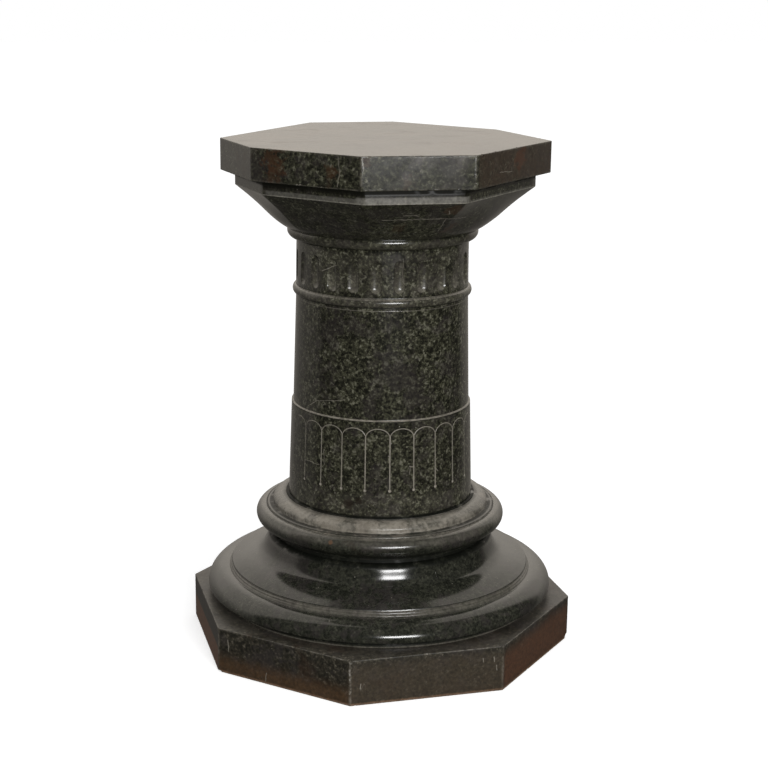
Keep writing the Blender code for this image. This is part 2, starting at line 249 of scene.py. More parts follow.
def repeat_round(item: bpy.types.Object, count: int) -> None:
    """Copy an object's mesh round the pedestal's axis.

    Args:
        item: The object, settled at the origin.
        count: How many there are in the whole round.
    """
    pivot = bpy.data.objects.new("pivot", None)
    bpy.context.scene.collection.objects.link(pivot)
    pivot.rotation_euler.z = FULL_TURN / count
    bpy.context.view_layer.update()
    apply_modifier(item, "ARRAY", count=count, use_relative_offset=False,
                   use_object_offset=True, offset_object=pivot)
    bpy.data.objects.remove(pivot, do_unlink=True)


def cut_away(stone: bpy.types.Object, tool: bpy.types.Object) -> None:
    """Cut a tool's shape out of a stone and put the tool away."""
    apply_modifier(stone, "BOOLEAN", operation="DIFFERENCE", solver="EXACT", object=tool)
    bpy.data.objects.remove(tool, do_unlink=True)


def note_on_points(item: bpy.types.Object, name: str, value: Callable[[Vector], float]) -> None:
    """Store a number on every point of a mesh for the finish to read.

    Args:
        item: The object.
        name: The attribute's name.
        value: Called with each point's place.
    """
    notes = item.data.attributes.new(name, "FLOAT", "POINT")
    for note, vertex in zip(notes.data, item.data.vertices):
        note.value = value(vertex.co)


# Finishes


class Graph:
    """Adds and joins the nodes of one material or world."""

    def __init__(self, tree: bpy.types.NodeTree) -> None:
        """Keep the tree that nodes are added to."""
        self.tree = tree

    def add(self, kind: str, settings: dict | None = None, **inputs: object) -> bpy.types.Node:
        """Add a node.

        Args:
            kind: The node's type, without its ShaderNode prefix.
            settings: Its settings.
            **inputs: Its inputs by name, with spaces as underscores; a socket is joined.

        Returns:
            The new node.
        """
        node = self.tree.nodes.new("ShaderNode" + kind)
        for key, value in (settings or {}).items():
            setattr(node, key, value)
        for key, value in inputs.items():
            self.put(node.inputs[key.replace("_", " ")], value)
        return node

    def put(self, socket: bpy.types.NodeSocket, value: object) -> None:
        """Join a socket to another, or set its value."""
        if isinstance(value, bpy.types.NodeSocket):
            self.tree.links.new(value, socket)
        else:
            socket.default_value = value

    def math(self, operation: str, *values: object, clamp: bool = False) -> bpy.types.NodeSocket:
        """Do sums on numbers.

        Args:
            operation: Blender's name for the sum.
            *values: Sockets or numbers.
            clamp: Keep the result from 0 to 1.

        Returns:
            The result's socket.
        """
        node = self.add("Math", {"operation": operation, "use_clamp": clamp})
        for socket, value in zip(node.inputs, values):
            self.put(socket, value)
        return node.outputs[0]

    def vector(self, operation: str, *values: object) -> bpy.types.Node:
        """Do sums on vectors.

        Args:
            operation: Blender's name for the sum.
            *values: Sockets, vectors or, for a scale, a number last.

        Returns:
            The node, whose first output is a vector and second a number.
        """
        node = self.add("VectorMath", {"operation": operation})
        sockets = [node.inputs[0], node.inputs["Scale"]] if operation == "SCALE" else node.inputs
        for socket, value in zip(sockets, values):
            self.put(socket, value)
        return node

    def ramp(self, value: object, low: float, high: float, soft: bool = True) -> bpy.types.NodeSocket:
        """Spread a number over 0 to 1 between two values.

        Args:
            value: The number's socket.
            low: The value that gives 0.
            high: The value that gives 1.
            soft: Ease in and out.

        Returns:
            The result's socket.
        """
        node = self.add("MapRange", {"interpolation_type": "SMOOTHSTEP" if soft else "LINEAR"},
                        Value=value, From_Min=low, From_Max=high)
        return node.outputs[0]

    def between(self, value: object, low: float, high: float, soft: float) -> bpy.types.NodeSocket:
        """1 between two values and 0 outside them, with soft ends."""
        rise = self.ramp(value, low - soft, low + soft)
        return self.math("MULTIPLY", rise, self.ramp(value, high + soft, high - soft))

    def flat(self, direction: object) -> bpy.types.NodeSocket:
        """The level part of a direction, of length one."""
        level = self.vector("MULTIPLY", direction, (1, 1, 0)).outputs[0]
        return self.vector("NORMALIZE", level).outputs[0]

    def towards(self, direction: object, turn: float) -> bpy.types.NodeSocket:
        """How far a level direction points to a turn in degrees, from -1 to 1."""
        way = (math.cos(math.radians(turn)), math.sin(math.radians(turn)), 0)
        return self.vector("DOT_PRODUCT", direction, way).outputs["Value"]

    def blend(self, share: object, first: object, second: object, how: str = "MIX") -> bpy.types.NodeSocket:
        """Mix two colours.

        Args:
            share: How much of the second there is.
            first: A colour or its socket.
            second: A colour or its socket.
            how: Blender's name for the way of mixing.

        Returns:
            The mixed colour's socket.
        """
        node = self.add("Mix", {"data_type": "RGBA", "blend_type": how})
        self.put(node.inputs["Factor"], share)
        self.put(node.inputs[6], first)
        self.put(node.inputs[7], second)
        return node.outputs[2]

    def noise(self, place: object, size: float, detail: float = 3.0, rough: float = 0.55,
              seed: float = 0.0, warp: float = 0.0) -> bpy.types.NodeSocket:
        """Cloudy noise.

        Args:
            place: Where it is read, in metres.
            size: Size of its largest forms, in metres.
            detail: How many finer layers it has.
            rough: How strong the finer layers are.
            seed: A number that gives another pattern.
            warp: How much it is pulled about.

        Returns:
            The noise's socket, about 0.5 in the middle.
        """
        node = self.add("TexNoise", {"noise_dimensions": "4D"}, Vector=place, W=seed,
                        Scale=1 / size, Detail=detail, Roughness=rough, Distortion=warp)
        return node.outputs[0]


@dataclass(frozen=True)
class Band:
    """A level of a turned stone whose surface differs, such as a dusty tread, or a band of painted light on
    a torus.
    """

    low: float
    high: float
    dust_and_light: float
    soft: float = 0.0012
    patches: float = 0.3


@dataclass(frozen=True)
class GrimeAndShadeLine:
    """A dark, dull line along a turned stone at one height: grime in a joint, and in some places painted
    shade under an overhang.
    """

    height: float
    width: float = 0.0009
    strength: float = 0.85


@dataclass(frozen=True)
class Patch:
    """A soft-edged patch of another tone, such as rust or a bruise, round one place."""

    place: tuple[float, float, float]
    size: float
    tone: Colour
    strength: float = 0.7
    ragged: float = 0.5


@dataclass(frozen=True)
class Zone:
    """A part of a stone, round one direction and between two heights, of another tone."""

    turn: float
    spread: float
    low: float
    high: float
    tone: Colour
    strength: float = 0.6
    soft: float = 0.006
    ragged: float = 0.5


@dataclass(frozen=True)
class Scratch:
    """A pale scratch, crack or vein round or up a stone, from one turn and height to another."""

    start: Point
    end: Point
    radius: float
    width: float = 0.0007
    strength: float = 0.6


@dataclass(frozen=True)
class Marble:
    """Mottled serpentine marble, polished, with stains, dust, scratches and worn edges, and with light and
    shade painted on in places.
    """

    name: str
    deep: Colour = (0.0085, 0.0085, 0.0060, 1)
    body: Colour = (0.0270, 0.0265, 0.0175, 1)
    grain: Colour = (0.0640, 0.0640, 0.0400, 1)
    pale: Colour = (0.1650, 0.1600, 0.1200, 1)
    bloom: Colour = (0.0300, 0.0250, 0.0250, 1)
    stain: Colour = (0.0620, 0.0300, 0.0150, 1)
    # Pale colour of dust, also laid where light is painted on.
    dust_and_light: Colour = (0.3200, 0.2900, 0.2400, 1)
    grain_size: float = 0.0034
    cloud_size: float = 0.0130
    contrast: float = 1.0
    stain_share: float = 0.15
    stain_foot: float = 0.0
    stain_rise: float = 0.05
    gloss: float = 0.13
    dull: float = 0.55
    ripple: float = 0.10
    scuffs: float = 0.35
    wear_breaks: float = 0.5
    film: float = 0.0
    film_tone: Colour = (0.1500, 0.1150, 0.0800, 1)
    bands: tuple[Band, ...] = ()
    joints: tuple[GrimeAndShadeLine, ...] = ()
    zones: tuple[Zone, ...] = ()
    zone_edge: float = 0.006
    patches: tuple[Patch, ...] = ()
    scratches: tuple[Scratch, ...] = ()

    def material(self) -> bpy.types.Material:
        """Build the finish.

        Returns:
            The material.
        """
        material = bpy.data.materials.new(self.name)
        material.use_nodes = True
        graph = Graph(material.node_tree)
        shader = material.node_tree.nodes["Principled BSDF"]
        place = graph.add("TexCoord").outputs["Object"]
        height = graph.add("SeparateXYZ", Vector=place).outputs["Z"]
        worn = graph.add("Attribute", {"attribute_name": "worn"}).outputs["Fac"]
        colour, cloud = self.stone(graph, place)
        stained = self.stain_mask(graph, place, height)
        colour = graph.blend(stained, colour, graph.blend(0.35, self.stain, colour, "MULTIPLY"))
        colour = self.zoned(graph, place, height, colour)
        colour = self.patched(graph, place, colour)
        colour = self.filmed(graph, place, colour)
        # Pale dust, and the pale bands and flute feet where light is painted on.
        dust_and_light_share = self.dust_and_light_mask(graph, place, height, worn)
        scuffed = self.scuff_mask(graph, place)
        marked = graph.math("MAXIMUM", dust_and_light_share, scuffed)
        colour = graph.blend(marked, colour, self.dust_and_light)
        # Grime in the joints, and painted shade under overhangs, darken the colour and dull it.
        grime_and_shade = self.grime_and_shade_mask(graph, place, height)
        colour = graph.blend(grime_and_shade, colour, self.deep)
        graph.put(shader.inputs["Base Color"], colour)
        matte = graph.math("ADD", graph.math("MULTIPLY", marked, 0.8),
                           graph.math("MULTIPLY", stained, 0.35))
        matte = graph.math("ADD", matte, grime_and_shade, clamp=True)
        satin = graph.math("MULTIPLY_ADD", cloud, 0.08, self.gloss - 0.04)
        rough = graph.math("ADD", satin, graph.math("MULTIPLY", matte, self.dull - self.gloss))
        graph.put(shader.inputs["Roughness"], rough)
        shader.inputs["IOR"].default_value = 1.54
        # Grime and painted shade also take away the reflection.
        graph.put(shader.inputs["Specular IOR Level"], graph.math("MULTIPLY_ADD", grime_and_shade, -0.46, 0.5))
        graph.put(shader.inputs["Normal"], self.relief(graph, place, marked, cloud))
        return material

    def stone(self, graph: Graph, place: bpy.types.NodeSocket) -> tuple:
        """Mottled colour of the clean stone.

        Args:
            graph: Where the nodes go.
            place: The place's socket.

        Returns:
            The colour's socket and the cloudy pattern's socket.
        """
        fine = graph.noise(place, self.grain_size, 3.0, 0.62, 1.3, 0.4)
        cloud = graph.noise(place, self.cloud_size, 3.0, 0.55, 4.1, 0.6)
        zone = graph.noise(place, self.cloud_size * 4.2, 2.0, 0.5, 7.7)
        cells = graph.add("TexVoronoi", Vector=place, Scale=1 / (self.grain_size * 1.25),
                          Randomness=1.0).outputs["Color"]
        crystal = graph.add("SeparateColor", Color=cells).outputs[0]
        mixed = graph.math("MULTIPLY_ADD", fine, 1.0, graph.math("MULTIPLY", crystal, 0.17))
        mixed = graph.math("MULTIPLY_ADD", cloud, 0.42, mixed)
        level = graph.math("SUBTRACT", mixed, 0.795)
        level = graph.math("MULTIPLY_ADD", level, 1.9 * self.contrast, 0.5)
        ramp = graph.add("ValToRGB", Fac=level)
        stops = ramp.color_ramp.elements
        stops[0].position, stops[0].color = 0.12, self.deep
        stops[1].position, stops[1].color = 0.97, self.pale
        for position, tone in ((0.46, self.body), (0.74, self.grain)):
            stops.new(position).color = tone
        bloomed = graph.math("MULTIPLY", graph.ramp(graph.math("ADD", zone, cloud), 0.98, 1.18), 0.55)
        colour = graph.blend(bloomed, ramp.outputs[0], self.bloom)
        return colour, cloud

    def stain_mask(self, graph: Graph, place: bpy.types.NodeSocket,
                   height: bpy.types.NodeSocket) -> bpy.types.NodeSocket:
        """Where rust-brown stain lies.

        Args:
            graph: Where the nodes go.
            place: The place's socket.
            height: The height's socket.

        Returns:
            The mask's socket.
        """
        broad = graph.noise(place, 0.055, 4.0, 0.6, 11.0, 0.8)
        threshold = 0.78 - 0.5 * self.stain_share
        patches = graph.ramp(broad, threshold - 0.12, threshold + 0.10)
        wandering = graph.math("MULTIPLY_ADD", broad, 0.05, graph.math("ADD", height, -0.025))
        low = graph.math("MULTIPLY", graph.ramp(wandering, self.stain_rise, 0.0), self.stain_foot)
        ragged = graph.math("MULTIPLY_ADD", graph.noise(place, 0.008, 4.0, 0.62, 12.0), 1.5, -0.10)
        both = graph.math("ADD", graph.math("MULTIPLY", patches, 0.75), low)
        return graph.math("MULTIPLY", both, ragged, clamp=True)

    def zoned(self, graph: Graph, place: bpy.types.NodeSocket, height: bpy.types.NodeSocket,
              colour: bpy.types.NodeSocket) -> bpy.types.NodeSocket:
        """Tint the zones of the stone, with ragged edges and some of the grain left showing.

        Args:
            graph: Where the nodes go.
            place: The place's socket.
            height: The height's socket.
            colour: The stone's colour so far.

        Returns:
            The colour with its zones.
        """
        if not self.zones:
            return colour
        flat = graph.flat(place)
        wander = graph.math("SUBTRACT", graph.noise(place, 0.016, 4.0, 0.62, 53.0, 0.6), 0.5)
        grain = graph.math("MULTIPLY_ADD", graph.noise(place, 0.0040, 4.0, 0.66, 54.0), 2.6, -0.3)
        for zone in self.zones:
            edge = math.cos(math.radians(zone.spread))
            side = graph.ramp(graph.towards(flat, zone.turn), edge - self.zone_edge, edge + self.zone_edge)
            moved = graph.math("MULTIPLY_ADD", wander, zone.soft * 2 * zone.ragged, height)
            mask = graph.math("MULTIPLY", side, graph.between(moved, zone.low, zone.high, zone.soft))
            uneven = graph.math("MULTIPLY_ADD", wander, 1.6 * zone.ragged, 1.0)
            mask = graph.math("MULTIPLY", mask, graph.math("MULTIPLY", uneven, zone.strength), clamp=True)
            tone = graph.vector("SCALE", zone.tone[:3], grain).outputs[0]
            colour = graph.blend(mask, colour, tone)
        return colour

    def patched(self, graph: Graph, place: bpy.types.NodeSocket,
                colour: bpy.types.NodeSocket) -> bpy.types.NodeSocket:
        """Lay the placed patches over the stone.

        Args:
            graph: Where the nodes go.
            place: The place's socket.
            colour: The stone's colour so far.

        Returns:
            The colour with its patches.
        """
        if not self.patches:
            return colour
        wander = graph.noise(place, 0.010, 4.0, 0.62, 51.0, 0.5)
        for patch in self.patches:
            gap = graph.vector("DISTANCE", place, patch.place).outputs["Value"]
            share = graph.math("DIVIDE", gap, patch.size)
            share = graph.math("MULTIPLY_ADD", graph.math("SUBTRACT", wander, 0.5), patch.ragged * 3, share)
            mask = graph.math("MULTIPLY", graph.ramp(share, 1.0, 0.55), patch.strength)
            colour = graph.blend(mask, colour, patch.tone)
        return colour

    def filmed(self, graph: Graph, place: bpy.types.NodeSocket,
               colour: bpy.types.NodeSocket) -> bpy.types.NodeSocket:
        """Lay streaks of worn wax over the faces that look up.

        Args:
            graph: Where the nodes go.
            place: The place's socket.
            colour: The stone's colour so far.

        Returns:
            The colour with its film.
        """
        if self.film == 0:
            return colour
        facing = graph.add("SeparateXYZ", Vector=graph.add("NewGeometry").outputs["Normal"]).outputs["Z"]
        upward = graph.ramp(facing, 0.80, 0.95)
        drawn = graph.add("Mapping", Vector=place)
        drawn.inputs["Rotation"].default_value = (0, 0, math.radians(13))
        drawn.inputs["Scale"].default_value = (0.22, 1.0, 1.0)
        streaks = graph.ramp(graph.noise(drawn.outputs[0], 0.022, 5.0, 0.62, 61.0, 0.7), 0.42, 0.66)
        mask = graph.math("MULTIPLY", upward, graph.math("MULTIPLY_ADD", streaks, self.film, 0.15))
        return graph.blend(mask, colour, self.film_tone)

    def grime_and_shade_mask(self, graph: Graph, place: bpy.types.NodeSocket,
                   height: bpy.types.NodeSocket) -> bpy.types.NodeSocket:
        """Where dark grime lines the joints and quirks, and where shade under overhangs is painted dark.

        Args:
            graph: Where the nodes go.
            place: The place's socket.
            height: The height's socket.

        Returns:
            The mask's socket.
        """
        mask = graph.math("MULTIPLY", height, 0.0)
        uneven = graph.ramp(graph.noise(place, 0.014, 2.0, 0.5, 71.0), 0.25, 0.50)
        for dark_line in self.joints:
            gap = graph.math("ABSOLUTE", graph.math("SUBTRACT", height, dark_line.height))
            dark = graph.math("MULTIPLY", graph.ramp(gap, dark_line.width, dark_line.width * 0.4), dark_line.strength)
            mask = graph.math("MAXIMUM", mask, graph.math("MULTIPLY", dark, uneven))
        return mask

    def dust_and_light_mask(self, graph: Graph, place: bpy.types.NodeSocket, height: bpy.types.NodeSocket,
                  worn: bpy.types.NodeSocket) -> bpy.types.NodeSocket:
        """Where pale dust lies, in the carving, on worn edges and on dull levels, and where light is painted
        on as pale bands and at the feet of the flutes.

        Args:
            graph: Where the nodes go.
            place: The place's socket.
            height: The height's socket.
            worn: The socket of the number noted on the points.

        Returns:
            The mask's socket.
        """
        patchy = graph.ramp(graph.noise(place, 0.006, 4.0, 0.65, 21.0), 0.34, 0.62)
        broad = graph.ramp(graph.noise(place, 0.032, 3.0, 0.6, 22.0), 0.36, 0.62)
        broken = graph.math("MULTIPLY", patchy, graph.math("MULTIPLY_ADD", broad, 0.75, 0.25))
        kept = 1.0 - self.wear_breaks
        mask = graph.math("MULTIPLY", worn, graph.math("MULTIPLY_ADD", broken, self.wear_breaks, kept))
        for band in self.bands:
            level = graph.between(height, band.low, band.high, band.soft)
            inside = graph.math("MULTIPLY", level, band.dust_and_light)
            spread = graph.math("MULTIPLY_ADD", broad, band.patches, 1.0 - band.patches)
            inside = graph.math("MULTIPLY", inside, spread)
            inside = graph.math("MULTIPLY", inside, graph.math("MULTIPLY_ADD", patchy, 0.6, 0.5))
            mask = graph.math("MAXIMUM", mask, inside)
        return graph.math("MINIMUM", mask, 1.0)

    def scuff_mask(self, graph: Graph, place: bpy.types.NodeSocket) -> bpy.types.NodeSocket:
        """Small pale specks, hairline scuffs and the scratches that are placed one by one.

        Args:
            graph: Where the nodes go.
            place: The place's socket.

        Returns:
            The mask's socket.
        """
        specks = graph.add("TexVoronoi", Vector=place, Scale=95.0)
        rare = graph.add("SeparateColor", Color=specks.outputs["Color"]).outputs[1]
        dot = graph.math("MULTIPLY", graph.ramp(specks.outputs["Distance"], 0.115, 0.03),
                         graph.ramp(rare, 0.80, 0.86))
        across = graph.add("Mapping", Vector=place)
        across.inputs["Rotation"].default_value = (0.3, 0.5, 0.2)
        across.inputs["Scale"].default_value = (1.0, 1.0, 0.13)
        hair = graph.noise(across.outputs[0], 0.016, 1.0, 0.5, 31.0, 0.3)
        thin = graph.ramp(graph.math("ABSOLUTE", graph.math("SUBTRACT", hair, 0.5)), 0.0032, 0.0006)
        some = graph.ramp(graph.noise(place, 0.03, 2.0, 0.5, 33.0), 0.57, 0.66)
        mask = graph.math("MAXIMUM", graph.math("MULTIPLY", dot, self.scuffs * 1.5),
                          graph.math("MULTIPLY", graph.math("MULTIPLY", thin, some), self.scuffs * 0.7))
        wobble = graph.add("TexNoise", Vector=place, Scale=120.0, Detail=2.0).outputs["Color"]
        moved = graph.vector("SCALE", graph.vector("SUBTRACT", wobble, (0.5, 0.5, 0.5)).outputs[0], 0.004)
        bent = graph.vector("ADD", place, moved.outputs[0]).outputs[0]
        sides = graph.add("SeparateXYZ", Vector=bent).outputs
        turn = graph.math("ARCTAN2", sides["Y"], sides["X"])
        wrapped = graph.add("CombineXYZ", X=turn, Y=sides["Z"]).outputs[0]
        for scratch in self.scratches:
            mask = graph.math("MAXIMUM", mask, self.scratch_mask(graph, wrapped, scratch))
        return mask

    def scratch_mask(self, graph: Graph, wrapped: bpy.types.NodeSocket,
                     scratch: Scratch) -> bpy.types.NodeSocket:
        """Distance to one scratch, as a mask.

        Args:
            graph: Where the nodes go.
            wrapped: The place as a turn in radians and a height.
            scratch: The scratch.

        Returns:
            The mask's socket.
        """
        unrolled = graph.vector("MULTIPLY", wrapped, (scratch.radius, 1, 0)).outputs[0]
        start, end = (Vector((math.radians(turn) * scratch.radius, height, 0))
                      for turn, height in (scratch.start, scratch.end))
        along = end - start
        offset = graph.vector("SUBTRACT", unrolled, tuple(start)).outputs[0]
        dot = graph.vector("DOT_PRODUCT", offset, tuple(along)).outputs["Value"]
        share = graph.math("MULTIPLY", dot, 1 / along.length_squared, clamp=True)
        near = graph.vector("SCALE", tuple(along), share).outputs[0]
        gap = graph.vector("DISTANCE", offset, near).outputs["Value"]
        return graph.math("MULTIPLY", graph.ramp(gap, scratch.width, scratch.width * 0.3), scratch.strength)

    def relief(self, graph: Graph, place: bpy.types.NodeSocket, marked: bpy.types.NodeSocket,
               cloud: bpy.types.NodeSocket) -> bpy.types.NodeSocket:
        """Faint ripples of the hand polish, and the bite of dust and scuffs.

        Args:
            graph: Where the nodes go.
            place: The place's socket.
            marked: The mask of dust and scuffs.
            cloud: The cloudy pattern.

        Returns:
            The normal's socket.
        """
        broad = graph.noise(place, 0.040, 2.0, 0.5, 41.0)
        pitted = graph.noise(place, 0.0022, 2.0, 0.5, 43.0)
        mottled = graph.math("MULTIPLY", cloud, self.ripple * 0.5)
        surface = graph.math("MULTIPLY_ADD", broad, self.ripple * 6, mottled)
        bite = graph.math("MULTIPLY", marked, graph.math("MULTIPLY", pitted, 1.2))
        bump = graph.add("Bump", Strength=1.0, Distance=0.00035,
                         Height=graph.math("ADD", surface, bite))
        return bump.outputs[0]


# The six stones


@dataclass
class Stone:
    """One stone of the pedestal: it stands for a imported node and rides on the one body."""

    node: str
    slot: Slot
    finish: Marble

    @cached_property
    def base(self) -> float:
        """Height of the stone's foot above the ground, as packed."""
        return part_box(self.node)[0].z

    @cached_property
    def top(self) -> float:
        """Height of the stone's top above the ground, as packed."""
        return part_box(self.node)[1].z

    def mount(self, item: bpy.types.Object) -> bpy.types.Object:
        """Dress a finished shell and tie it to its node.

        Args:
            item: The stone's closed shell.

        Returns:
            The same object.
        """
        item.name = self.node + "_stone"
        item.data.name = item.name
        item.data.materials.clear()
        item.data.materials.append(self.finish.material())
        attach(item, BODY)
        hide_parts(self.node)
        faces = sum(len(face.vertices) - 2 for face in item.data.polygons)
        log.info("%s: %d triangles", item.name, faces)
        return item


@dataclass(frozen=True)
class Chip:
    """A small piece broken from an arris."""

    place: tuple[float, float, float]
    size: tuple[float, float, float]
    seed: int = 1


@dataclass
class SawnSlab(Stone):
    """An eight-sided slab, sawn from a block, with eased and chipped edges."""

    corners: tuple[Point, ...] = ()
    eased: float = 0.0012
    border: float = 0.0021
    chips: tuple[Chip, ...] = ()
    nicks: int = 60
    nick_size: float = 0.0016
    arris_wear: float = 0.5
    seed: int = 5

    @property
    def thickness(self) -> float:
        """Thickness of the slab."""
        return self.top - self.base

    def sides(self) -> list[tuple[Vector, Vector, Vector]]:
        """Start, end and outward direction of each side, anticlockwise."""
        found = []
        for k, corner in enumerate(self.corners):
            start, end = Vector(corner), Vector(self.corners[(k + 1) % len(self.corners)])
            found.append((start, end, outward(start, end)))
        return found

    def ease(self, item: bpy.types.Object) -> None:
        """Round every edge a little and set in a border that carries the wear.

        Args:
            item: The sawn slab.
        """
        open_mesh(item, "EDGE")
        bpy.ops.mesh.select_all(action="SELECT")
        bpy.ops.mesh.bevel(offset=self.eased, segments=3, affect="EDGES")
        bpy.ops.mesh.select_all(action="DESELECT")
        bpy.ops.mesh.select_mode(type="FACE")
        pick(item, "faces", lambda face: face.calc_area() > self.thickness * 0.04)
        bpy.ops.mesh.inset(thickness=self.border, use_individual=True)
        close_mesh()

    def chip(self, item: bpy.types.Object) -> None:
        """Break the placed chips, and small nicks all round, from the arrises.

        Args:
            item: The eased slab.
        """
        broken = list(self.chips)
        turn = 0.618034
        for i in range(self.nicks):
            share = (i * turn + self.seed * 0.37) % 1.0
            place = self.on_arris(share, upper=(i * 7 + self.seed) % 3 != 0)
            reach = self.nick_size * (0.45 + 0.9 * ((i * i * turn + 0.2) % 1.0) ** 2)
            length = reach * (1 + 1.6 * ((i * 0.37) % 1.0))
            broken.append(Chip(place, (length, reach, reach * 0.8), i + self.seed))
        tools = []
        for chip in broken:
            bpy.ops.object.select_all(action="DESELECT")
            bpy.ops.mesh.primitive_ico_sphere_add(subdivisions=2, radius=1, location=chip.place)
            tool = bpy.context.object
            facing = math.atan2(chip.place[1], chip.place[0])
            tool.rotation_euler = (0.3 * math.sin(chip.seed), 0.4 * math.cos(chip.seed * 2.3),
                                   facing + math.pi / 2 + 0.2 * math.sin(chip.seed * 5.1))
            tool.scale = chip.size
            open_mesh(tool)
            bpy.ops.mesh.select_all(action="SELECT")
            bpy.ops.transform.vertex_random(offset=0.16, seed=chip.seed)
            close_mesh()
            settle(tool)
            tools.append(tool)
        only(tools[0])
        for tool in tools:
            tool.select_set(True)
        bpy.ops.object.join()
        apply_modifier(item, "BOOLEAN", operation="DIFFERENCE", solver="EXACT", use_self=True,
                       object=tools[0])
        bpy.data.objects.remove(tools[0], do_unlink=True)

    def on_arris(self, share: float, upper: bool) -> tuple[float, float, float]:
        """A place on the upper or lower arris.

        Args:
            share: How far round it is, from 0 to 1.
            upper: Whether it is on the upper arris.

        Returns:
            The place.
        """
        sides = self.sides()
        k, along = divmod(share * len(sides), 1.0)
        start, end, _ = sides[int(k) % len(sides)]
        spot = start.lerp(end, along)
        return (spot.x, spot.y, self.base + (self.thickness if upper else 0.0))

    def wear(self, place: Vector) -> float:
        """How worn a point is: 1 in chips, less along the arrises, 0 on the faces.

        Args:
            place: The point.

        Returns:
            The wear from 0 to 1.
        """
        gaps = sorted((Vector(start) - place.xy).dot(out) for start, _, out in self.sides())
        rise = min(place.z - self.base, self.base + self.thickness - place.z)
        near = sorted((gaps[0], gaps[1], rise))
        depth = max(near[0], 0.0)
        edge = max(0.0, 1.0 - max(near[1], 0.0) / (self.border * 0.9))
        return min(1.0, depth / 0.0011) * 0.9 if depth > self.eased * 0.55 else edge * self.arris_wear

    def build(self) -> bpy.types.Object:
        """Make the slab.

        Returns:
            The dressed slab.
        """
        item = saw_block(self.corners, self.base, self.thickness)
        close_mesh()
        self.ease(item)
        self.chip(item)
        finish_shell(item, 30.0)
        apply_modifier(item, "WEIGHTED_NORMAL", keep_sharp=True, weight=50)
        note_on_points(item, "worn", self.wear)
        return self.mount(item)


@dataclass
class TurnedStone(Stone):
    """A stone turned on a lathe, with its arrises eased."""

    steps: int = 256
    arris: float = 0.0005

    def outline(self) -> list[Point]:
        """Radius and height of the profile, from the foot upwards."""
        raise NotImplementedError

    def build(self) -> bpy.types.Object:
        """Make the stone.

        Returns:
            The dressed stone.
        """
        item = raise_turned(self.node, self.outline(), self.base, self.steps)
        apply_modifier(item, "BEVEL", width=self.arris, segments=2, limit_method="ANGLE",
                       angle_limit=math.radians(40))
        finish_shell(item)
        note_on_points(item, "worn", lambda place: 0.0)
        return self.mount(item)


@dataclass
class BaseMoulding(TurnedStone):
    """The wide turned moulding on the plinth: seat, ovolo, fillet, cyma and neck."""

    steps: int = 288
    ovolo_radius: float = 0.2493
    seat_set_back: float = 0.0160
    seat_height: float = 0.0120
    soffit_rise: float = 0.0013
    ovolo_projection: float = 0.0305
    ovolo_height: float = 0.0222
    ovolo_tuck: float = 7.0
    fillet_height: float = 0.0090
    fillet_batter: float = 0.0042
    cyma_height: float = 0.0435
    cyma_roll_width: float = 0.0138
    cyma_roll_height: float = 0.0172
    cyma_steepest: float = 70.0
    cyma_top_ease: float = 0.8
    cyma_turn_ease: float = 0.6
    cyma_spread: float = 0.0360
    cyma_slope: float = 26.0
    neck_radius: float = 0.1524
    neck_height: float = 0.0045

    def outline(self) -> list[Point]:
        """Radius and height of the moulding's profile, from the seat upwards."""
        seat = self.ovolo_radius - self.seat_set_back
        centre = self.ovolo_radius - self.ovolo_projection
        low = self.seat_height + self.soffit_rise
        middle = low + self.ovolo_height * math.sin(math.radians(self.ovolo_tuck))
        top = middle + self.ovolo_height
        fillet_top = top + self.fillet_height
        foot = (centre - self.fillet_batter, fillet_top)
        slope = math.radians(self.cyma_slope)
        handle = (foot[0] - self.cyma_spread * math.cos(slope), foot[1] + self.cyma_spread * math.sin(slope))
        head = (self.neck_radius, fillet_top + self.cyma_height)
        points = [(seat, 0.0), *line((seat, 0.0), (seat, self.seat_height), 3)]
        points += arc((centre, middle), self.ovolo_projection, self.ovolo_height, -self.ovolo_tuck, 90, 26)
        points += self.turned_fillet((centre, top), foot)
        points += self.cyma(foot, handle, head)
        return points + [(self.neck_radius, head[1] + self.neck_height)]

    def cyma(self, foot: Point, handle: Point, head: Point) -> list[Point]:
        """The hollow and the roll of the cyma, which turn into each other where it is steepest.

        Args:
            foot: Radius and height of its foot.
            handle: Handle of the hollow's foot.
            head: Radius and height of its top.

        Returns:
            Its points, without the first.
        """
        steepest = math.radians(self.cyma_steepest)
        turn = (self.neck_radius + self.cyma_roll_width, head[1] - self.cyma_roll_height)
        lean = (self.cyma_roll_height * math.cos(steepest), self.cyma_roll_height * math.sin(steepest))
        hollow = (foot, handle, (turn[0] + lean[0], turn[1] - lean[1]), turn)
        roll = (turn, (turn[0] - lean[0] * self.cyma_turn_ease, turn[1] + lean[1] * self.cyma_turn_ease),
                (self.neck_radius + self.cyma_roll_width * self.cyma_top_ease, head[1]), head)
        return cubic(hollow, 26)[1:] + cubic(roll, 20)[1:]

    def turned_fillet(self, low: Point, high: Point) -> list[Point]:
        """The unpolished fillet, with two fine lines left by the turning tool.

        Args:
            low: Radius and height of its foot.
            high: Radius and height of its top.

        Returns:
            Its points, without the first.
        """
        points = []
        for share, inset in ((0.10, 0.0), (0.30, 0.0), (0.36, 0.0007), (0.42, 0.0), (0.62, 0.0),
                             (0.70, 0.0008), (0.78, 0.0), (1.0, 0.0)):
            points.append((low[0] + (high[0] - low[0]) * share - inset, low[1] + (high[1] - low[1]) * share))
        return points


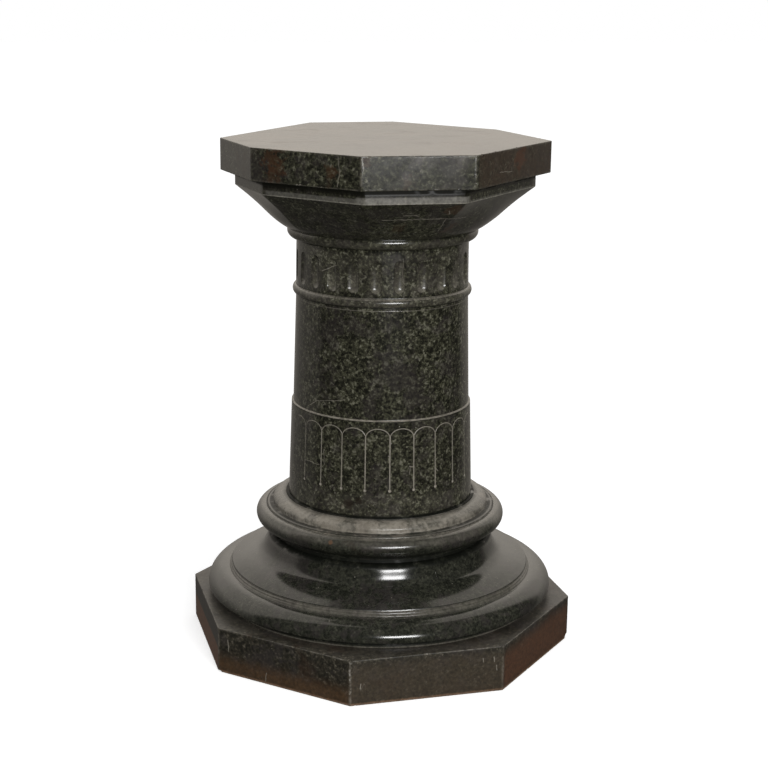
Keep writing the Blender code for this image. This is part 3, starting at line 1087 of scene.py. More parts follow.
@dataclass
class TorusRing(TurnedStone):
    """The turned ring under the shaft: lip, torus, fillet and cushion."""

    arris: float = 0.0004
    torus_radius: float = 0.0125
    widest: float = 0.1790
    tuck: float = 72.0
    lip_set_back: float = 0.0245
    lip_height: float = 0.0030
    soffit_rise: float = 0.0078
    fillet_height: float = 0.0014
    fillet_set_back: float = 0.0017
    tread_rise: float = 0.0016
    cushion_set_back: float = 0.0243
    cushion_tuck: float = 0.0041
    cushion_width: float = 0.0185
    cushion_height: float = 0.0095
    top_fillet: float = 0.0016
    top_radius: float = 0.1362

    def outline(self) -> list[Point]:
        """Radius and height of the ring's profile, from the lip upwards."""
        lip = self.widest - self.lip_set_back
        centre = self.widest - self.torus_radius
        middle = self.lip_height + self.soffit_rise + self.torus_radius * math.sin(math.radians(self.tuck))
        fillet = centre - self.fillet_set_back
        fillet_top = middle + self.torus_radius + self.fillet_height
        cushion = self.widest - self.cushion_set_back
        low = fillet_top + self.tread_rise
        middle_two = low + self.cushion_tuck
        points = [(lip, 0.0), (lip, self.lip_height)]
        points += arc((centre, middle), self.torus_radius, self.torus_radius, -self.tuck, 90, 30)
        points += [(fillet, fillet_top - self.fillet_height), (fillet, fillet_top), (cushion, low)]
        points += arc((cushion - self.cushion_width, middle_two), self.cushion_width,
                      self.cushion_height, 0, 90, 16)
        return points + [(self.top_radius, middle_two + self.cushion_height + self.top_fillet)]


@dataclass
class Shaft(Stone):
    """The round drum with its bead, round-ended flutes above it and incised lappets below."""

    steps: int = 240
    foot_radius: float = 0.1320
    band_radius: float = 0.1277
    band_height: float = 0.1360
    ledge: float = 0.0024
    ledge_rise: float = 0.0008
    drum_height: float = 0.1545
    drum_radius: float = 0.1212
    bead_height: float = 0.0125
    bead_projection: float = 0.0047
    neck_height: float = 0.0652
    neck_radius: float = 0.1206
    chamfer: float = 0.0012
    flute_count: int = 24
    flute_turn: float = 11.2
    flute_width: float = 0.0172
    flute_height: float = 0.0453
    flute_depth: float = 0.0034
    flute_drop: float = 0.0136
    lappet_count: int = 24
    lappet_turn: float = 5.9
    lappet_drop: float = 0.0107
    head_height: float = 0.0124
    lappet_rise: float = 0.0380
    head_width: float = 0.0016
    upright_width: float = 0.0020
    head_reach: float = 76.0
    drill_width: float = 0.0048

    @property
    def drum_low(self) -> float:
        """Height of the drum's foot above the shaft's."""
        return self.band_height + self.ledge_rise

    @property
    def bead_low(self) -> float:
        """Height of the bead's underside."""
        return self.drum_low + self.drum_height

    @property
    def height(self) -> float:
        """The shaft's whole height."""
        return self.bead_low + self.bead_height + self.neck_height

    def radius_at(self, z: float) -> float:
        """Radius of the plain surface.

        Args:
            z: Height above the shaft's foot.

        Returns:
            The radius there.
        """
        drum_foot = self.band_radius - self.ledge
        if z <= self.band_height:
            return self.foot_radius + (self.band_radius - self.foot_radius) * z / self.band_height
        if z <= self.bead_low:
            return drum_foot + (self.drum_radius - drum_foot) * (z - self.drum_low) / self.drum_height
        share = (z - self.bead_low - self.bead_height) / self.neck_height
        return self.drum_radius + (self.neck_radius - self.drum_radius) * share

    def outline(self) -> list[Point]:
        """Radius and height of the profile, from the foot upwards."""
        drum_foot = self.band_radius - self.ledge
        middle = self.bead_low + self.bead_height / 2
        neck_foot = (self.drum_radius, self.bead_low + self.bead_height)
        points = [(self.foot_radius, 0.0)]
        points += line(points[-1], (self.band_radius, self.band_height), 30)
        points.append((drum_foot, self.drum_low))
        points += line(points[-1], (self.drum_radius, self.bead_low), 22)[:-1]
        points += arc((self.drum_radius, middle), self.bead_projection, self.bead_height / 2, -90, 90, 16)
        points += line(neck_foot, (self.neck_radius, self.height - self.chamfer), 16)
        return points + [(self.neck_radius - self.chamfer, self.height)]

    def on_surface(self, turn: float, z: float, lift: float = 0.0) -> Vector:
        """A place on the plain surface."""
        radius = self.radius_at(z) + lift
        return Vector((radius * math.cos(turn), radius * math.sin(turn), self.base + z))

    def flute_tool(self) -> bpy.types.Object:
        """Round-ended tools for all the flutes.

        Returns:
            The tools as one object.
        """
        reach = (self.flute_width ** 2 / 4 + self.flute_depth ** 2) / (2 * self.flute_depth)
        straight = self.flute_height - self.flute_width
        bpy.ops.object.select_all(action="DESELECT")
        bpy.ops.mesh.primitive_uv_sphere_add(segments=40, ring_count=27, radius=reach)
        item = bpy.context.object
        for side in (1, -1):
            open_mesh(item)
            pick(item, "verts", lambda vertex: vertex.co.z * side > 0)
            bpy.ops.transform.translate(value=(0, 0, side * straight / 2))
            close_mesh()
        turn = math.radians(self.flute_turn)
        middle = self.height - self.flute_drop - self.flute_height / 2
        item.location = self.on_surface(turn, middle, reach - self.flute_depth)
        item.rotation_euler.z = turn
        settle(item)
        repeat_round(item, self.flute_count)
        return item

    def groove_tool(self, route: Sequence[Vector], width: float) -> bpy.types.Object:
        """A round tool along a route, copied for every lappet.

        Args:
            route: The groove's middle.
            width: The groove's width.

        Returns:
            The tools as one object.
        """
        bpy.ops.object.select_all(action="DESELECT")
        curve = bpy.data.curves.new("groove_route", "CURVE")
        curve.dimensions = "3D"
        curve.bevel_depth = width / 2
        curve.bevel_resolution = 1
        curve.use_fill_caps = True
        spline = curve.splines.new("POLY")
        spline.points.add(len(route) - 1)
        for point, place in zip(spline.points, route):
            point.co = (*place, 1)
        item = bpy.data.objects.new("groove_tool", curve)
        bpy.context.scene.collection.objects.link(item)
        only(item)
        bpy.ops.object.convert(target="MESH")
        item = bpy.context.object
        finish_shell(item)
        repeat_round(item, self.lappet_count)
        return item

    def carve_lappets(self, item: bpy.types.Object) -> None:
        """Cut the upright lines, the arched heads and the drilled stops.

        Args:
            item: The plain shaft.
        """
        spacing = FULL_TURN / self.lappet_count
        spring = self.band_height - self.lappet_drop - self.head_height
        reach = math.radians(self.head_reach)
        crossing = spring + self.head_height * math.cos(reach)
        turn = math.radians(self.lappet_turn)
        upright = [self.on_surface(turn, self.lappet_rise),
                   self.on_surface(turn, (self.lappet_rise + crossing) / 2),
                   self.on_surface(turn, crossing + self.head_width / 2)]
        cut_away(item, self.groove_tool(upright, self.upright_width))
        half = spacing / 2 - self.head_width / 2 / self.band_radius
        arch = []
        for i in range(25):
            t = -reach + 2 * reach * i / 24
            aside = half * math.sin(t) / math.sin(reach)
            rise = spring + self.head_height * math.cos(t)
            arch.append(self.on_surface(turn + spacing / 2 + aside, rise))
        cut_away(item, self.groove_tool(arch, self.head_width))
        bpy.ops.object.select_all(action="DESELECT")
        bpy.ops.mesh.primitive_uv_sphere_add(segments=16, ring_count=10, radius=self.drill_width / 2,
                                             location=self.on_surface(turn, self.lappet_rise))
        drill = bpy.context.object
        settle(drill)
        repeat_round(drill, self.lappet_count)
        cut_away(item, drill)

    def dust_and_light_share(self, place: Vector) -> float:
        """How pale a point is painted: dust most in the lines, and at the feet of the flutes dust with
        painted light on the lower ends.

        Args:
            place: The point.

        Returns:
            The share from 0 to 1.
        """
        z = place.z - self.base
        depth = self.radius_at(z) - place.xy.length
        if z < self.band_height:
            return min(1.0, max(0.0, depth / 0.0005)) if depth < 0.01 and z > 0.02 else 0.0
        if z > self.bead_low + self.bead_height and depth < 0.01:
            foot = self.height - self.flute_drop - self.flute_height
            low = max(0.0, 1.0 - (z - foot) / (self.flute_height * 0.5))
            # Paler towards the feet of the flutes: dust there, and painted light on the lower ends.
            return max(0.0, min(1.0, depth / 0.0012)) * (0.05 + 0.42 * low * low)
        return 0.0

    def build(self) -> bpy.types.Object:
        """Make the shaft.

        Returns:
            The dressed shaft.
        """
        item = raise_turned(self.node, self.outline(), self.base, self.steps)
        finish_shell(item)
        cut_away(item, self.flute_tool())
        self.carve_lappets(item)
        finish_shell(item, 32.0)
        # The worn number holds the dust in the carving and the painted light at the feet of the flutes.
        note_on_points(item, "worn", self.dust_and_light_share)
        return self.mount(item)


@dataclass
class Capital(Stone):
    """The turned astragal, the eight faces that flare out of it, and the eight-sided fillet."""

    corners: tuple[Point, ...] = ()
    overhang: float = 0.0178
    astragal_radius: float = 0.1335
    astragal_projection: float = 0.0120
    astragal_height: float = 0.0105
    astragal_roll: float = 24.0
    flare_height: float = 0.0588
    flare_belly: float = 0.85
    fillet_height: float = 0.0190
    corner_round: float = 0.0022
    side_cuts: int = 15
    flare_steps: int = 36

    def fillet_corners(self) -> list[Vector]:
        """Corners of the eight-sided fillet: the slab's, with each side moved in."""
        found = []
        for k, corner in enumerate(self.corners):
            before = outward(self.corners[k - 1], corner)
            after = outward(corner, self.corners[(k + 1) % len(self.corners)])
            found.append(Vector(corner) - (before + after) * self.overhang / (1 + before.dot(after)))
        return found

    def fillet_block(self) -> bpy.types.Object:
        """Saw the eight-sided fillet, round its corners and divide its sides.

        Returns:
            The fillet, open below.
        """
        item = saw_block(self.fillet_corners(), self.flare_top(), self.fillet_height)
        bpy.ops.mesh.select_mode(type="EDGE")
        bpy.ops.mesh.select_all(action="DESELECT")
        pick(item, "edges", lambda edge: abs(edge.verts[0].co.z - edge.verts[1].co.z) > 0.001)
        bpy.ops.mesh.bevel(offset=self.corner_round, segments=4, affect="EDGES")
        bpy.ops.mesh.select_all(action="DESELECT")
        pick(item, "edges", lambda edge: abs(edge.verts[0].co.z - edge.verts[1].co.z) < 0.001
             and edge.calc_length() > 0.02)
        bpy.ops.mesh.subdivide(number_cuts=self.side_cuts)
        bpy.ops.mesh.select_mode(type="FACE")
        bpy.ops.mesh.select_all(action="DESELECT")
        pick(item, "faces", lambda face: face.normal.z < -0.5)
        return item

    def flare_top(self) -> float:
        """Height of the flare's top above the ground."""
        roll = math.radians(self.astragal_roll)
        return self.base + self.astragal_height * (1 + math.sin(roll)) + self.flare_height

    def rings(self) -> list[tuple[float, float, float]]:
        """Radius, height and share of the eight-sided shape at each ring, from the fillet down."""
        neck = self.astragal_radius - self.astragal_projection
        rolled = arc((neck, self.base + self.astragal_height), self.astragal_projection,
                     self.astragal_height, self.astragal_roll, -90, 16)
        top, low = self.flare_top(), rolled[0][1]
        found = []
        for i in range(1, self.flare_steps):
            rise = 1 - i / self.flare_steps
            spread = rise + self.flare_belly * rise * (1 - rise) ** 4
            found.append((rolled[0][0], low + (top - low) * rise, spread))
        return found + [(radius, z, 0.0) for radius, z in rolled]

    def build(self) -> bpy.types.Object:
        """Make the capital.

        Returns:
            The dressed capital.
        """
        item = self.fillet_block()
        mesh = bmesh.from_edit_mesh(item.data)
        reaches = {round(math.atan2(v.co.y, v.co.x), 4): v.co.xy.length for v in mesh.verts}
        height = self.flare_top()
        for radius, z, spread in self.rings():
            bpy.ops.mesh.extrude_region_move(TRANSFORM_OT_translate={"value": (0, 0, z - height)})
            mesh = bmesh.from_edit_mesh(item.data)
            for vertex in (v for v in mesh.verts if v.select):
                turn = math.atan2(vertex.co.y, vertex.co.x)
                reach = reaches[min(reaches, key=lambda other: abs(other - turn))]
                out = radius + (reach - radius) * spread
                vertex.co.x, vertex.co.y = out * math.cos(turn), out * math.sin(turn)
            bmesh.update_edit_mesh(item.data)
            height = z
        close_mesh()
        finish_shell(item, 42.0)
        note_on_points(item, "worn", lambda place: 0.0)
        return self.mount(item)


# Studio


@dataclass(frozen=True)
class Studio:
    """A pale floor, a softbox by the camera, pale surroundings and the camera."""

    camera_place: tuple[float, float, float] = (-0.5765, -2.1619, 0.9403)
    camera_turn: float = -15.0357
    camera_tilt: float = 90 - 14.295
    camera_roll: float = 0.6375
    lens: float = 75.664
    sensor: float = 36.0
    softbox_turn: float = 13.5
    softbox_rise: float = 12.0
    softbox_distance: float = 2.3
    softbox_size: Point = (0.84, 0.46)
    softbox_power: float = 30.0
    aim_height: float = 0.36
    fill_above: float = 1.05
    fill_level: float = 0.24
    fill_below: float = 0.03
    level_rise: Point = (-0.12, 0.10)
    above_rise: Point = (0.20, 1.0)
    dark: float = 0.03
    pale_centre: float = 94.1
    pale_half: float = 73.0
    pale_edge: float = 0.09
    pale_tone: Colour = (1.0, 0.925, 0.83, 1)
    backdrop_centre: float = 75.1
    backdrop_half: float = 20.0
    backdrop_edge: float = 0.05
    backdrop_glow: float = 0.28
    pale_levels: tuple[Point, ...] = ((-1.0, 0.03), (-0.60, 0.08), (-0.34, 0.16), (-0.18, 0.26),
                                      (0.10, 0.55), (0.28, 0.86), (0.50, 1.0))
    floor_size: float = 40.0
    floor_tone: Colour = (0.93, 0.93, 0.93, 1)
    floor_glow: float = 0.42

    def camera(self) -> None:
        """Stand the camera where the view was taken."""
        data = bpy.data.cameras.new("view")
        data.lens = self.lens
        data.sensor_width = self.sensor
        data.clip_start, data.clip_end = 0.05, 100.0
        item = bpy.data.objects.new("view", data)
        bpy.context.scene.collection.objects.link(item)
        turn = Matrix.Rotation(math.radians(self.camera_turn), 4, "Z")
        tilt = Matrix.Rotation(math.radians(self.camera_tilt), 4, "X")
        roll = Matrix.Rotation(math.radians(self.camera_roll), 4, "Z")
        item.matrix_world = Matrix.Translation(self.camera_place) @ turn @ tilt @ roll
        bpy.context.scene.camera = item

    def softbox(self) -> None:
        """Hang the softbox just right of the camera."""
        turn = math.radians(self.camera_turn + self.softbox_turn - 90)
        rise = math.radians(self.softbox_rise)
        aim = Vector((0, 0, self.aim_height))
        place = aim + self.softbox_distance * Vector((math.cos(turn) * math.cos(rise),
                                                      math.sin(turn) * math.cos(rise), math.sin(rise)))
        data = bpy.data.lights.new("softbox", "AREA")
        data.shape = "RECTANGLE"
        data.size, data.size_y = self.softbox_size
        data.energy = self.softbox_power
        item = bpy.data.objects.new("softbox", data)
        item.location = place
        item.rotation_euler = (aim - place).to_track_quat("-Z", "Y").to_euler()
        bpy.context.scene.collection.objects.link(item)

    def surroundings(self) -> None:
        """Pale room behind and beside the pedestal, dark behind the camera, as polish shows it."""
        world = bpy.data.worlds.new("studio")
        bpy.context.scene.world = world
        world.use_nodes = True
        graph = Graph(world.node_tree)
        background = world.node_tree.nodes["Background"]
        direction = graph.add("TexCoord").outputs["Generated"]
        flat = graph.flat(direction)
        side = graph.towards(flat, self.pale_centre)
        edge = math.cos(math.radians(self.pale_half))
        pale = graph.ramp(side, edge - self.pale_edge, edge + self.pale_edge)
        behind = graph.towards(flat, self.backdrop_centre)
        limit = math.cos(math.radians(self.backdrop_half))
        lit = graph.ramp(behind, limit - self.backdrop_edge, limit + self.backdrop_edge)
        glow = graph.math("MULTIPLY_ADD", lit, self.backdrop_glow, 1.0)
        rise = graph.add("SeparateXYZ", Vector=direction).outputs["Z"]
        wall = graph.add("ValToRGB", Fac=graph.math("MULTIPLY_ADD", rise, 0.5, 0.5))
        stops = wall.color_ramp.elements
        for stop, (where, level) in zip(stops, (self.pale_levels[0], self.pale_levels[-1])):
            stop.position, stop.color = (where + 1) / 2, (level, level, level, 1)
        for where, level in self.pale_levels[1:-1]:
            stops.new((where + 1) / 2).color = (level, level, level, 1)
        above = graph.math("SUBTRACT", wall.outputs[0], self.dark)
        mirrored = graph.math("MULTIPLY_ADD", graph.math("MULTIPLY", pale, above), glow, self.dark)
        rays = graph.add("LightPath")
        glossy = rays.outputs["Is Glossy Ray"]
        seen = rays.outputs["Is Camera Ray"]
        level_part = graph.math("MULTIPLY", graph.ramp(rise, *self.level_rise),
                                self.fill_level - self.fill_below)
        high_part = graph.math("MULTIPLY", graph.ramp(rise, *self.above_rise, soft=False),
                               self.fill_above - self.fill_level)
        soft = graph.math("ADD", graph.math("ADD", level_part, high_part), self.fill_below)
        level = graph.math("ADD", graph.math("MULTIPLY", glossy, mirrored),
                           graph.math("MULTIPLY", graph.math("SUBTRACT", 1.0, glossy), soft))
        level = graph.math("MAXIMUM", level, seen)
        graph.put(background.inputs["Strength"], level)
        graph.put(background.inputs["Color"], graph.blend(glossy, (1, 1, 1, 1), self.pale_tone))

    def floor(self) -> None:
        """Lay the pale floor."""
        bpy.ops.object.select_all(action="DESELECT")
        bpy.ops.mesh.primitive_plane_add(size=self.floor_size)
        item = bpy.context.object
        item.name = "floor"
        material = bpy.data.materials.new("pale_floor")
        material.use_nodes = True
        shader = material.node_tree.nodes["Principled BSDF"]
        shader.inputs["Base Color"].default_value = self.floor_tone
        shader.inputs["Roughness"].default_value = 0.9
        shader.inputs["Specular IOR Level"].default_value = 0.0
        shader.inputs["Emission Color"].default_value = (1, 1, 1, 1)
        shader.inputs["Emission Strength"].default_value = self.floor_glow
        item.data.materials.append(material)
        item.visible_glossy = False
        item.visible_diffuse = False

    def build(self) -> None:
        """Set up the whole studio."""
        self.camera()
        self.softbox()
        self.surroundings()
        self.floor()
        scene = bpy.context.scene
        scene.view_settings.view_transform = "Standard"
        scene.view_settings.look = "None"


# The pedestal

# Each corner's reach from the axis, and its direction in degrees from +X
SLAB_CORNERS: tuple[Point, ...] = (
    (0.2308, -18.1), (0.2187, 26.0), (0.2553, 72.0), (0.2503, 101.8),
    (0.2246, 170.1), (0.2236, 204.7), (0.2373, 248.4), (0.2383, 284.6))
PLINTH_ACROSS_FLATS = 0.514
PLINTH_REACH = PLINTH_ACROSS_FLATS / 2 / math.cos(math.pi / 8)


def spot(turn: float, reach: float, height: float) -> tuple[float, float, float]:
    """A place given by its direction in degrees, its distance from the axis and its height."""
    return (reach * math.cos(math.radians(turn)), reach * math.sin(math.radians(turn)), height)


def slab_corners() -> tuple[Point, ...]:
    """Corners of the hand-sawn top slab."""
    return tuple((reach * math.cos(math.radians(turn)), reach * math.sin(math.radians(turn)))
                 for reach, turn in SLAB_CORNERS)


def plinth_corners() -> tuple[Point, ...]:
    """Corners of the regular plinth."""
    turns = [(k + 0.5) * FULL_TURN / 8 for k in range(8)]
    return tuple((PLINTH_REACH * math.cos(turn), PLINTH_REACH * math.sin(turn)) for turn in turns)


def stones() -> list[Stone]:
    """The six stones from the ground up.

    Returns:
        The stones, ready to build.
    """
    turned = dict(deep=(0.0070, 0.0078, 0.0058, 1), body=(0.0200, 0.0208, 0.0155, 1),
                  grain=(0.0420, 0.0430, 0.0310, 1), pale=(0.1100, 0.1050, 0.0850, 1), contrast=0.75)
    return [plinth(), base_moulding(turned), torus_ring(turned), shaft(), capital(), top_slab()]


def plinth() -> SawnSlab:
    """The plinth: dull, olive above and rust-brown towards the ground, with a chipped front corner."""
    foot, top = (corner.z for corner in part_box("plinth"))
    front, right, left, far_right = -112.5, -67.5, -157.5, -22.5
    rust, tan, umber = (0.130, 0.054, 0.024, 1), (0.240, 0.140, 0.080, 1), (0.010, 0.0080, 0.0055, 1)
    zones = (
        Zone(-135, 23, foot, foot + 0.022, (0.080, 0.044, 0.020, 1), 0.75, 0.013),
        Zone(-90, 23, foot, foot + 0.058, (0.058, 0.043, 0.026, 1), 0.60, 0.010),
        Zone(-45, 22, foot, foot + 0.052, (0.095, 0.043, 0.022, 1), 0.85, 0.012),
        Zone(180, 22, foot, foot + 0.036, rust, 0.90, 0.002, 0.3),
        Zone(180, 22, foot + 0.036, top, umber, 0.70, 0.002, 0.3),
        Zone(-90, 180, foot - 0.010, foot + 0.0032, tan, 0.65, 0.0016, 1.4),
    )
    patches = (Patch(spot(-117, 0.258, top), 0.009, umber, 0.8, 0.3),)
    scratches = (
        Scratch((-154.3, 0.050), (-154.2, 0.034), 0.272, 0.0011, 0.55),
        Scratch((-141.0, 0.016), (-141.2, 0.004), 0.258, 0.0009, 0.60),
        Scratch((-109.6, 0.031), (-109.9, 0.024), 0.273, 0.0010, 0.70),
        Scratch((-73.3, 0.050), (-73.1, 0.045), 0.268, 0.0009, 0.55),
        Scratch((-70.2, 0.050), (-70.0, 0.043), 0.273, 0.0009, 0.60),
        Scratch((-69.5, 0.037), (-69.3, 0.031), 0.274, 0.0009, 0.50),
    )
    chips = tuple(Chip(spot(front, PLINTH_REACH, top - drop), (size, size * 0.8, size * 1.5), 20 + i)
                  for i, (drop, size) in enumerate(((0.001, 0.0040), (0.007, 0.0024), (0.012, 0.0032),
                                                    (0.019, 0.0028), (0.026, 0.0022), (0.045, 0.0024))))
    chips += (Chip(spot(right, PLINTH_REACH, top), (0.0050, 0.0030, 0.0022), 31),
              Chip(spot(left, PLINTH_REACH, foot), (0.0060, 0.0040, 0.0040), 32),
              Chip(spot(far_right, PLINTH_REACH, foot), (0.0080, 0.0060, 0.0070), 33))
    return SawnSlab("plinth", Slot.PLINTH,
                    Marble("plinth_marble", deep=(0.0080, 0.0075, 0.0052, 1),
                           body=(0.0230, 0.0205, 0.0140, 1), grain=(0.0540, 0.0480, 0.0330, 1),
                           pale=(0.1500, 0.1300, 0.1000, 1),
                           contrast=1.0, stain_share=0.35, stain_foot=0.3, stain_rise=0.045, gloss=0.46,
                           wear_breaks=1.0, zones=zones, patches=patches, scratches=scratches,
                           bands=(Band(top - 0.0006, top + 0.0010, 0.12, 0.0003, 0.7),)),
                    corners=plinth_corners(), eased=0.0011, arris_wear=0.55, chips=chips, seed=3)


def base_moulding(turned: dict) -> BaseMoulding:
    """The base moulding: the most polished stone, with a dull fillet, and painted shade under its ovolo and
    under the torus ring.
    """
    foot, top = (corner.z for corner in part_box("base_moulding"))
    return BaseMoulding("base_moulding", Slot.TURNED,
                        Marble("moulding_marble", **turned, gloss=0.15, stain_share=0.0,
                               bands=(Band(foot + 0.0385, foot + 0.0462, 0.30),
                                      Band(foot, foot + 0.0020, 0.40)),
                               # The wide line near the foot is painted shadow under the ovolo, the wide line
                               # under the top is painted shade under the torus ring, the thin line is grime.
                               joints=(GrimeAndShadeLine(foot + 0.0068, 0.0045, 0.9), GrimeAndShadeLine(foot + 0.0468, 0.0006, 0.7),
                                       GrimeAndShadeLine(top - 0.0040, 0.0080, 0.9))))


def torus_ring(turned: dict) -> TorusRing:
    """The torus ring: polished torus with painted light on its upper half and painted shade under it, beige
    and worn cushion.
    """
    foot, top = (corner.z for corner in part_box("torus_ring"))
    worn = (0.270, 0.235, 0.190, 1)
    patches = (Patch(spot(-133, 0.148, top - 0.004), 0.026, worn, 0.55, 0.8),
               Patch(spot(-112, 0.151, top - 0.006), 0.024, worn, 0.50, 0.9),
               Patch(spot(-96, 0.153, top - 0.007), 0.020, worn, 0.45, 0.9),
               Patch(spot(-157, 0.143, top - 0.002), 0.016, worn, 0.35, 0.8),
               Patch(spot(-127, 0.178, foot + 0.029), 0.004, (0.120, 0.060, 0.030, 1), 0.8, 0.5))
    return TorusRing("torus_ring", Slot.TURNED,
                     Marble("ring_marble", **turned, gloss=0.17, stain_share=0.08, scuffs=0.6,
                            bands=(Band(top - 0.0155, top - 0.0010, 0.75, 0.0008, 0.6),
                                   # This pale band paints light on the upper half of the torus.
                                   Band(foot + 0.0250, foot + 0.0335, 0.20, 0.0040, 0.6),
                                   Band(foot + 0.0335, foot + 0.0372, 0.34)),
                            # The line at foot + 0.0030 is painted shade under the torus; the others are
                            # grime in the joints.
                            joints=(GrimeAndShadeLine(top, 0.0022, 0.9), GrimeAndShadeLine(top - 0.0156, 0.0007, 0.7),
                                    GrimeAndShadeLine(foot + 0.0366, 0.0005, 0.7), GrimeAndShadeLine(foot + 0.0030, 0.0030, 0.8)),
                            patches=patches))


def shaft() -> Shaft:
    """The shaft: strongly mottled, with dust in the carving and fine lines at the ledge and bead."""
    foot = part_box("shaft")[0].z
    ledge = foot + Shaft.band_height
    bead = ledge + Shaft.ledge_rise + Shaft.drum_height
    neck = bead + Shaft.bead_height
    scratches = (
        Scratch((-147.4, 0.549), (-136.5, 0.560), 0.120, 0.0008, 0.55),
        Scratch((-91.5, 0.572), (-91.2, 0.519), 0.121, 0.0008, 0.30),
        Scratch((-156.8, 0.359), (-150.0, 0.368), 0.125, 0.0007, 0.50),
        Scratch((-150.0, 0.368), (-128.0, 0.376), 0.125, 0.0007, 0.40),
        Scratch((-159.4, 0.2800), (-145.5, 0.2790), 0.130, 0.0007, 0.50),
        Scratch((-142.0, 0.302), (-141.7, 0.281), 0.130, 0.0010, 0.35),
        Scratch((-87.2, 0.2858), (-84.6, 0.2856), 0.130, 0.0009, 0.60),
        Scratch((-86.6, 0.2860), (-86.8, 0.274), 0.130, 0.0008, 0.35),
        Scratch((-68.5, 0.277), (-67.0, 0.274), 0.130, 0.0011, 0.55),
    )
    umber = (0.012, 0.008, 0.005, 1)
    patches = (Patch(spot(-124.5, 0.131, 0.231), 0.010, umber, 0.9, 0.7),
               Patch(spot(-118.0, 0.131, 0.236), 0.006, umber, 0.7, 0.7),
               Patch(spot(-128.0, 0.131, 0.2262), 0.004, (0.20, 0.17, 0.13, 1), 0.5, 0.7))
    return Shaft("shaft", Slot.SHAFT,
                 Marble("shaft_marble", contrast=1.35, gloss=0.17, stain_share=0.06, wear_breaks=0.3,
                        scuffs=0.45,
                        bands=(Band(ledge - 0.0007, ledge + 0.0009, 0.95, 0.0004, 0.05),
                               Band(bead + 0.0008, neck - 0.0008, 0.16, 0.0010, 0.5),
                               Band(neck - 0.0022, neck + 0.0004, 0.55, 0.0005, 0.3),
                               Band(bead - 0.0050, bead - 0.0038, 0.35, 0.0004, 0.4),
                               Band(foot + 0.0050, foot + 0.0300, 0.10, 0.0080, 0.9),
                               Band(neck + 0.0050, neck + 0.0600, 0.10, 0.0040, 0.9)),
                        joints=(GrimeAndShadeLine(foot, 0.0024, 0.9), GrimeAndShadeLine(ledge - 0.0016, 0.0005, 0.7),
                                GrimeAndShadeLine(bead - 0.0003, 0.0010, 0.8), GrimeAndShadeLine(neck + 0.0010, 0.0007, 0.6)),
                        patches=patches, scratches=scratches))


def capital() -> Capital:
    """The capital: dark flared faces, a pale lip on the front of its fillet that is a painted highlight,
    painted shadow on the fillet under the slab, long fine scratches.
    """
    foot, top = (corner.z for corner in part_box("capital"))
    lip = top - Capital.fillet_height
    pale, rust = (0.210, 0.200, 0.175, 1), (0.062, 0.030, 0.015, 1)
    zones = (
        # The first four zones paint a highlight on the lip of the fillet, brightest at the front; the last
        # paints the shadow under the slab.
        Zone(-94, 20, lip, lip + 0.0085, pale, 0.75, 0.0012, 0.5),
        Zone(-133, 21, lip, lip + 0.0065, pale, 0.40, 0.0012, 0.7),
        Zone(-48, 26, lip, lip + 0.0030, pale, 0.30, 0.0010, 0.8),
        Zone(-90, 180, lip - 0.0004, lip + 0.0010, (0.330, 0.310, 0.260, 1), 0.55, 0.0004, 1.0),
        Zone(-90, 180, lip + 0.0100, top, (0.006, 0.0055, 0.0035, 1), 0.80, 0.0016, 0.3),
    )
    scratches = (
        Scratch((-105.3, 0.6324), (-81.1, 0.6331), 0.181, 0.0008, 0.50),
        Scratch((-81.1, 0.6335), (-66.0, 0.6310), 0.182, 0.0008, 0.45),
        Scratch((-97.0, 0.6391), (-90.1, 0.6386), 0.186, 0.0007, 0.45),
        Scratch((-78.1, 0.614), (-78.4, 0.633), 0.172, 0.0009, 0.40),
        Scratch((-79.8, 0.645), (-78.6, 0.641), 0.197, 0.0009, 0.55),
    )
    patches = (Patch(spot(-77.5, 0.203, 0.647), 0.016, rust, 0.50, 1.2),
               Patch(spot(-72.0, 0.162, 0.617), 0.013, rust, 0.40, 1.2),
               Patch(spot(-98.0, 0.165, 0.621), 0.012, rust, 0.25, 1.2))
    return Capital("capital", Slot.TURNED,
                   Marble("capital_marble", contrast=1.0, gloss=0.165, stain_share=0.12,
                          bands=(Band(foot + 0.0020, foot + 0.0120, 0.12, 0.0020, 0.6),),
                          joints=(GrimeAndShadeLine(foot, 0.0018, 0.9), GrimeAndShadeLine(foot + 0.0148, 0.0006, 0.7),
                                  # The wide dark line under the top is painted shadow under the slab.
                                  GrimeAndShadeLine(top - 0.0028, 0.0056, 0.95)),
                          zones=zones, patches=patches, scratches=scratches),
                   corners=slab_corners())


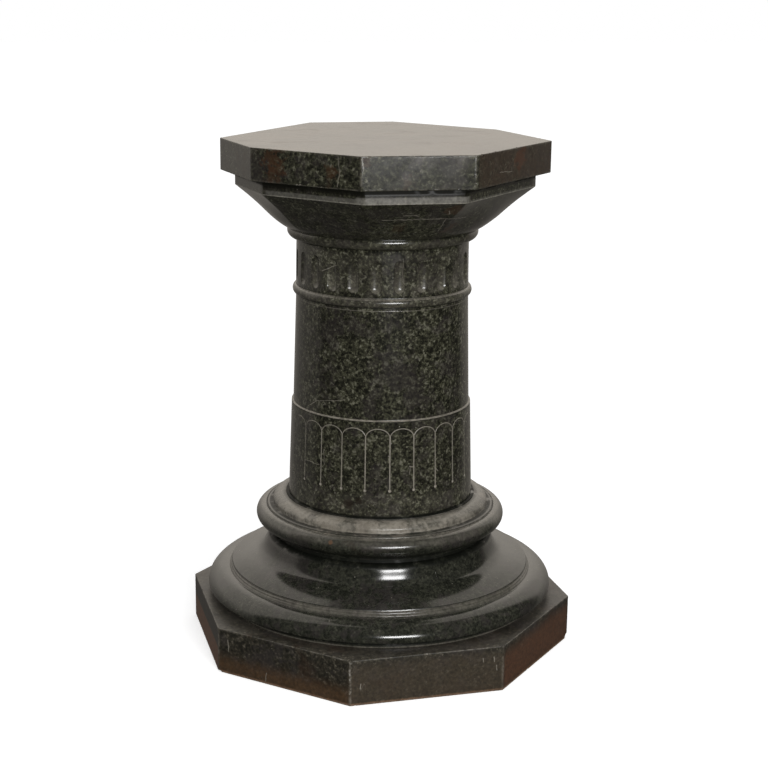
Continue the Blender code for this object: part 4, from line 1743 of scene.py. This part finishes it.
def top_slab() -> SawnSlab:
    """The top slab: a waxed, streaked top, mottled sides with rust-brown patches, and a painted sheen on the
    front right side.
    """
    foot, top = (corner.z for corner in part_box("top_slab"))
    brown = (0.055, 0.026, 0.013, 1)
    zones = (Zone(-45, 29, foot, top, (0.042, 0.027, 0.017, 1), 0.70, 0.002, 0.8),
             # This pale zone paints the sheen on the front right side.
             Zone(-93, 17, foot, top, (0.060, 0.058, 0.048, 1), 0.20, 0.002, 0.9))
    patches = (Patch(spot(-146, 0.215, 0.708), 0.019, brown, 0.60, 1.4),
               Patch(spot(-145, 0.215, 0.690), 0.015, brown, 0.50, 1.4),
               Patch(spot(-122, 0.222, 0.697), 0.011, brown, 0.55, 1.2),
               Patch(spot(-110, 0.236, 0.713), 0.009, brown, 0.45, 1.2),
               Patch(spot(-44, 0.206, 0.706), 0.018, (0.085, 0.030, 0.012, 1), 0.50, 1.4),
               Patch(spot(-97, 0.225, 0.684), 0.013, brown, 0.30, 1.3))
    scratches = (
        Scratch((-119.6, 0.7180), (-119.0, 0.6990), 0.225, 0.0012, 0.25),
        Scratch((-119.0, 0.7000), (-119.8, 0.6800), 0.225, 0.0008, 0.35),
        Scratch((-59.9, 0.6926), (-50.3, 0.6900), 0.210, 0.0007, 0.45),
        Scratch((-111.4, 0.7170), (-110.8, 0.7020), 0.238, 0.0009, 0.40),
    )
    chips = (Chip(spot(168.5, 0.2225, top), (0.0055, 0.0030, 0.0022), 3),
             Chip(spot(-134.7, 0.2135, foot + 0.0010), (0.0026, 0.0016, 0.0022), 4),
             Chip(spot(-136.0, 0.2135, foot + 0.0010), (0.0018, 0.0014, 0.0016), 9),
             Chip(spot(-126.0, 0.2180, foot), (0.0030, 0.0016, 0.0020), 10),
             Chip(spot(-81.0, 0.2322, foot + 0.0012), (0.0020, 0.0014, 0.0020), 5),
             Chip(spot(-75.6, 0.2380, foot + 0.0085), (0.0018, 0.0016, 0.0018), 6),
             Chip(spot(-77.7, 0.2356, foot), (0.0022, 0.0016, 0.0018), 7))
    return SawnSlab("top_slab", Slot.SLAB,
                    Marble("slab_marble", contrast=1.15, stain_share=0.30, gloss=0.15, wear_breaks=1.0,
                           film=0.6, scuffs=0.04, zones=zones, patches=patches, scratches=scratches,
                           joints=(GrimeAndShadeLine(foot, 0.0012, 0.5),)),
                    corners=slab_corners(), eased=0.0011, arris_wear=0.40, chips=chips, seed=8)


def main() -> None:
    """Build the stones and the studio, and report each piece."""
    logging.basicConfig(level=logging.INFO, format="%(name)s: %(message)s")
    for stone in stones():
        stone.build()
    Studio().build()
    log.info("the pedestal is complete")


if __name__ == "__main__":
    main()
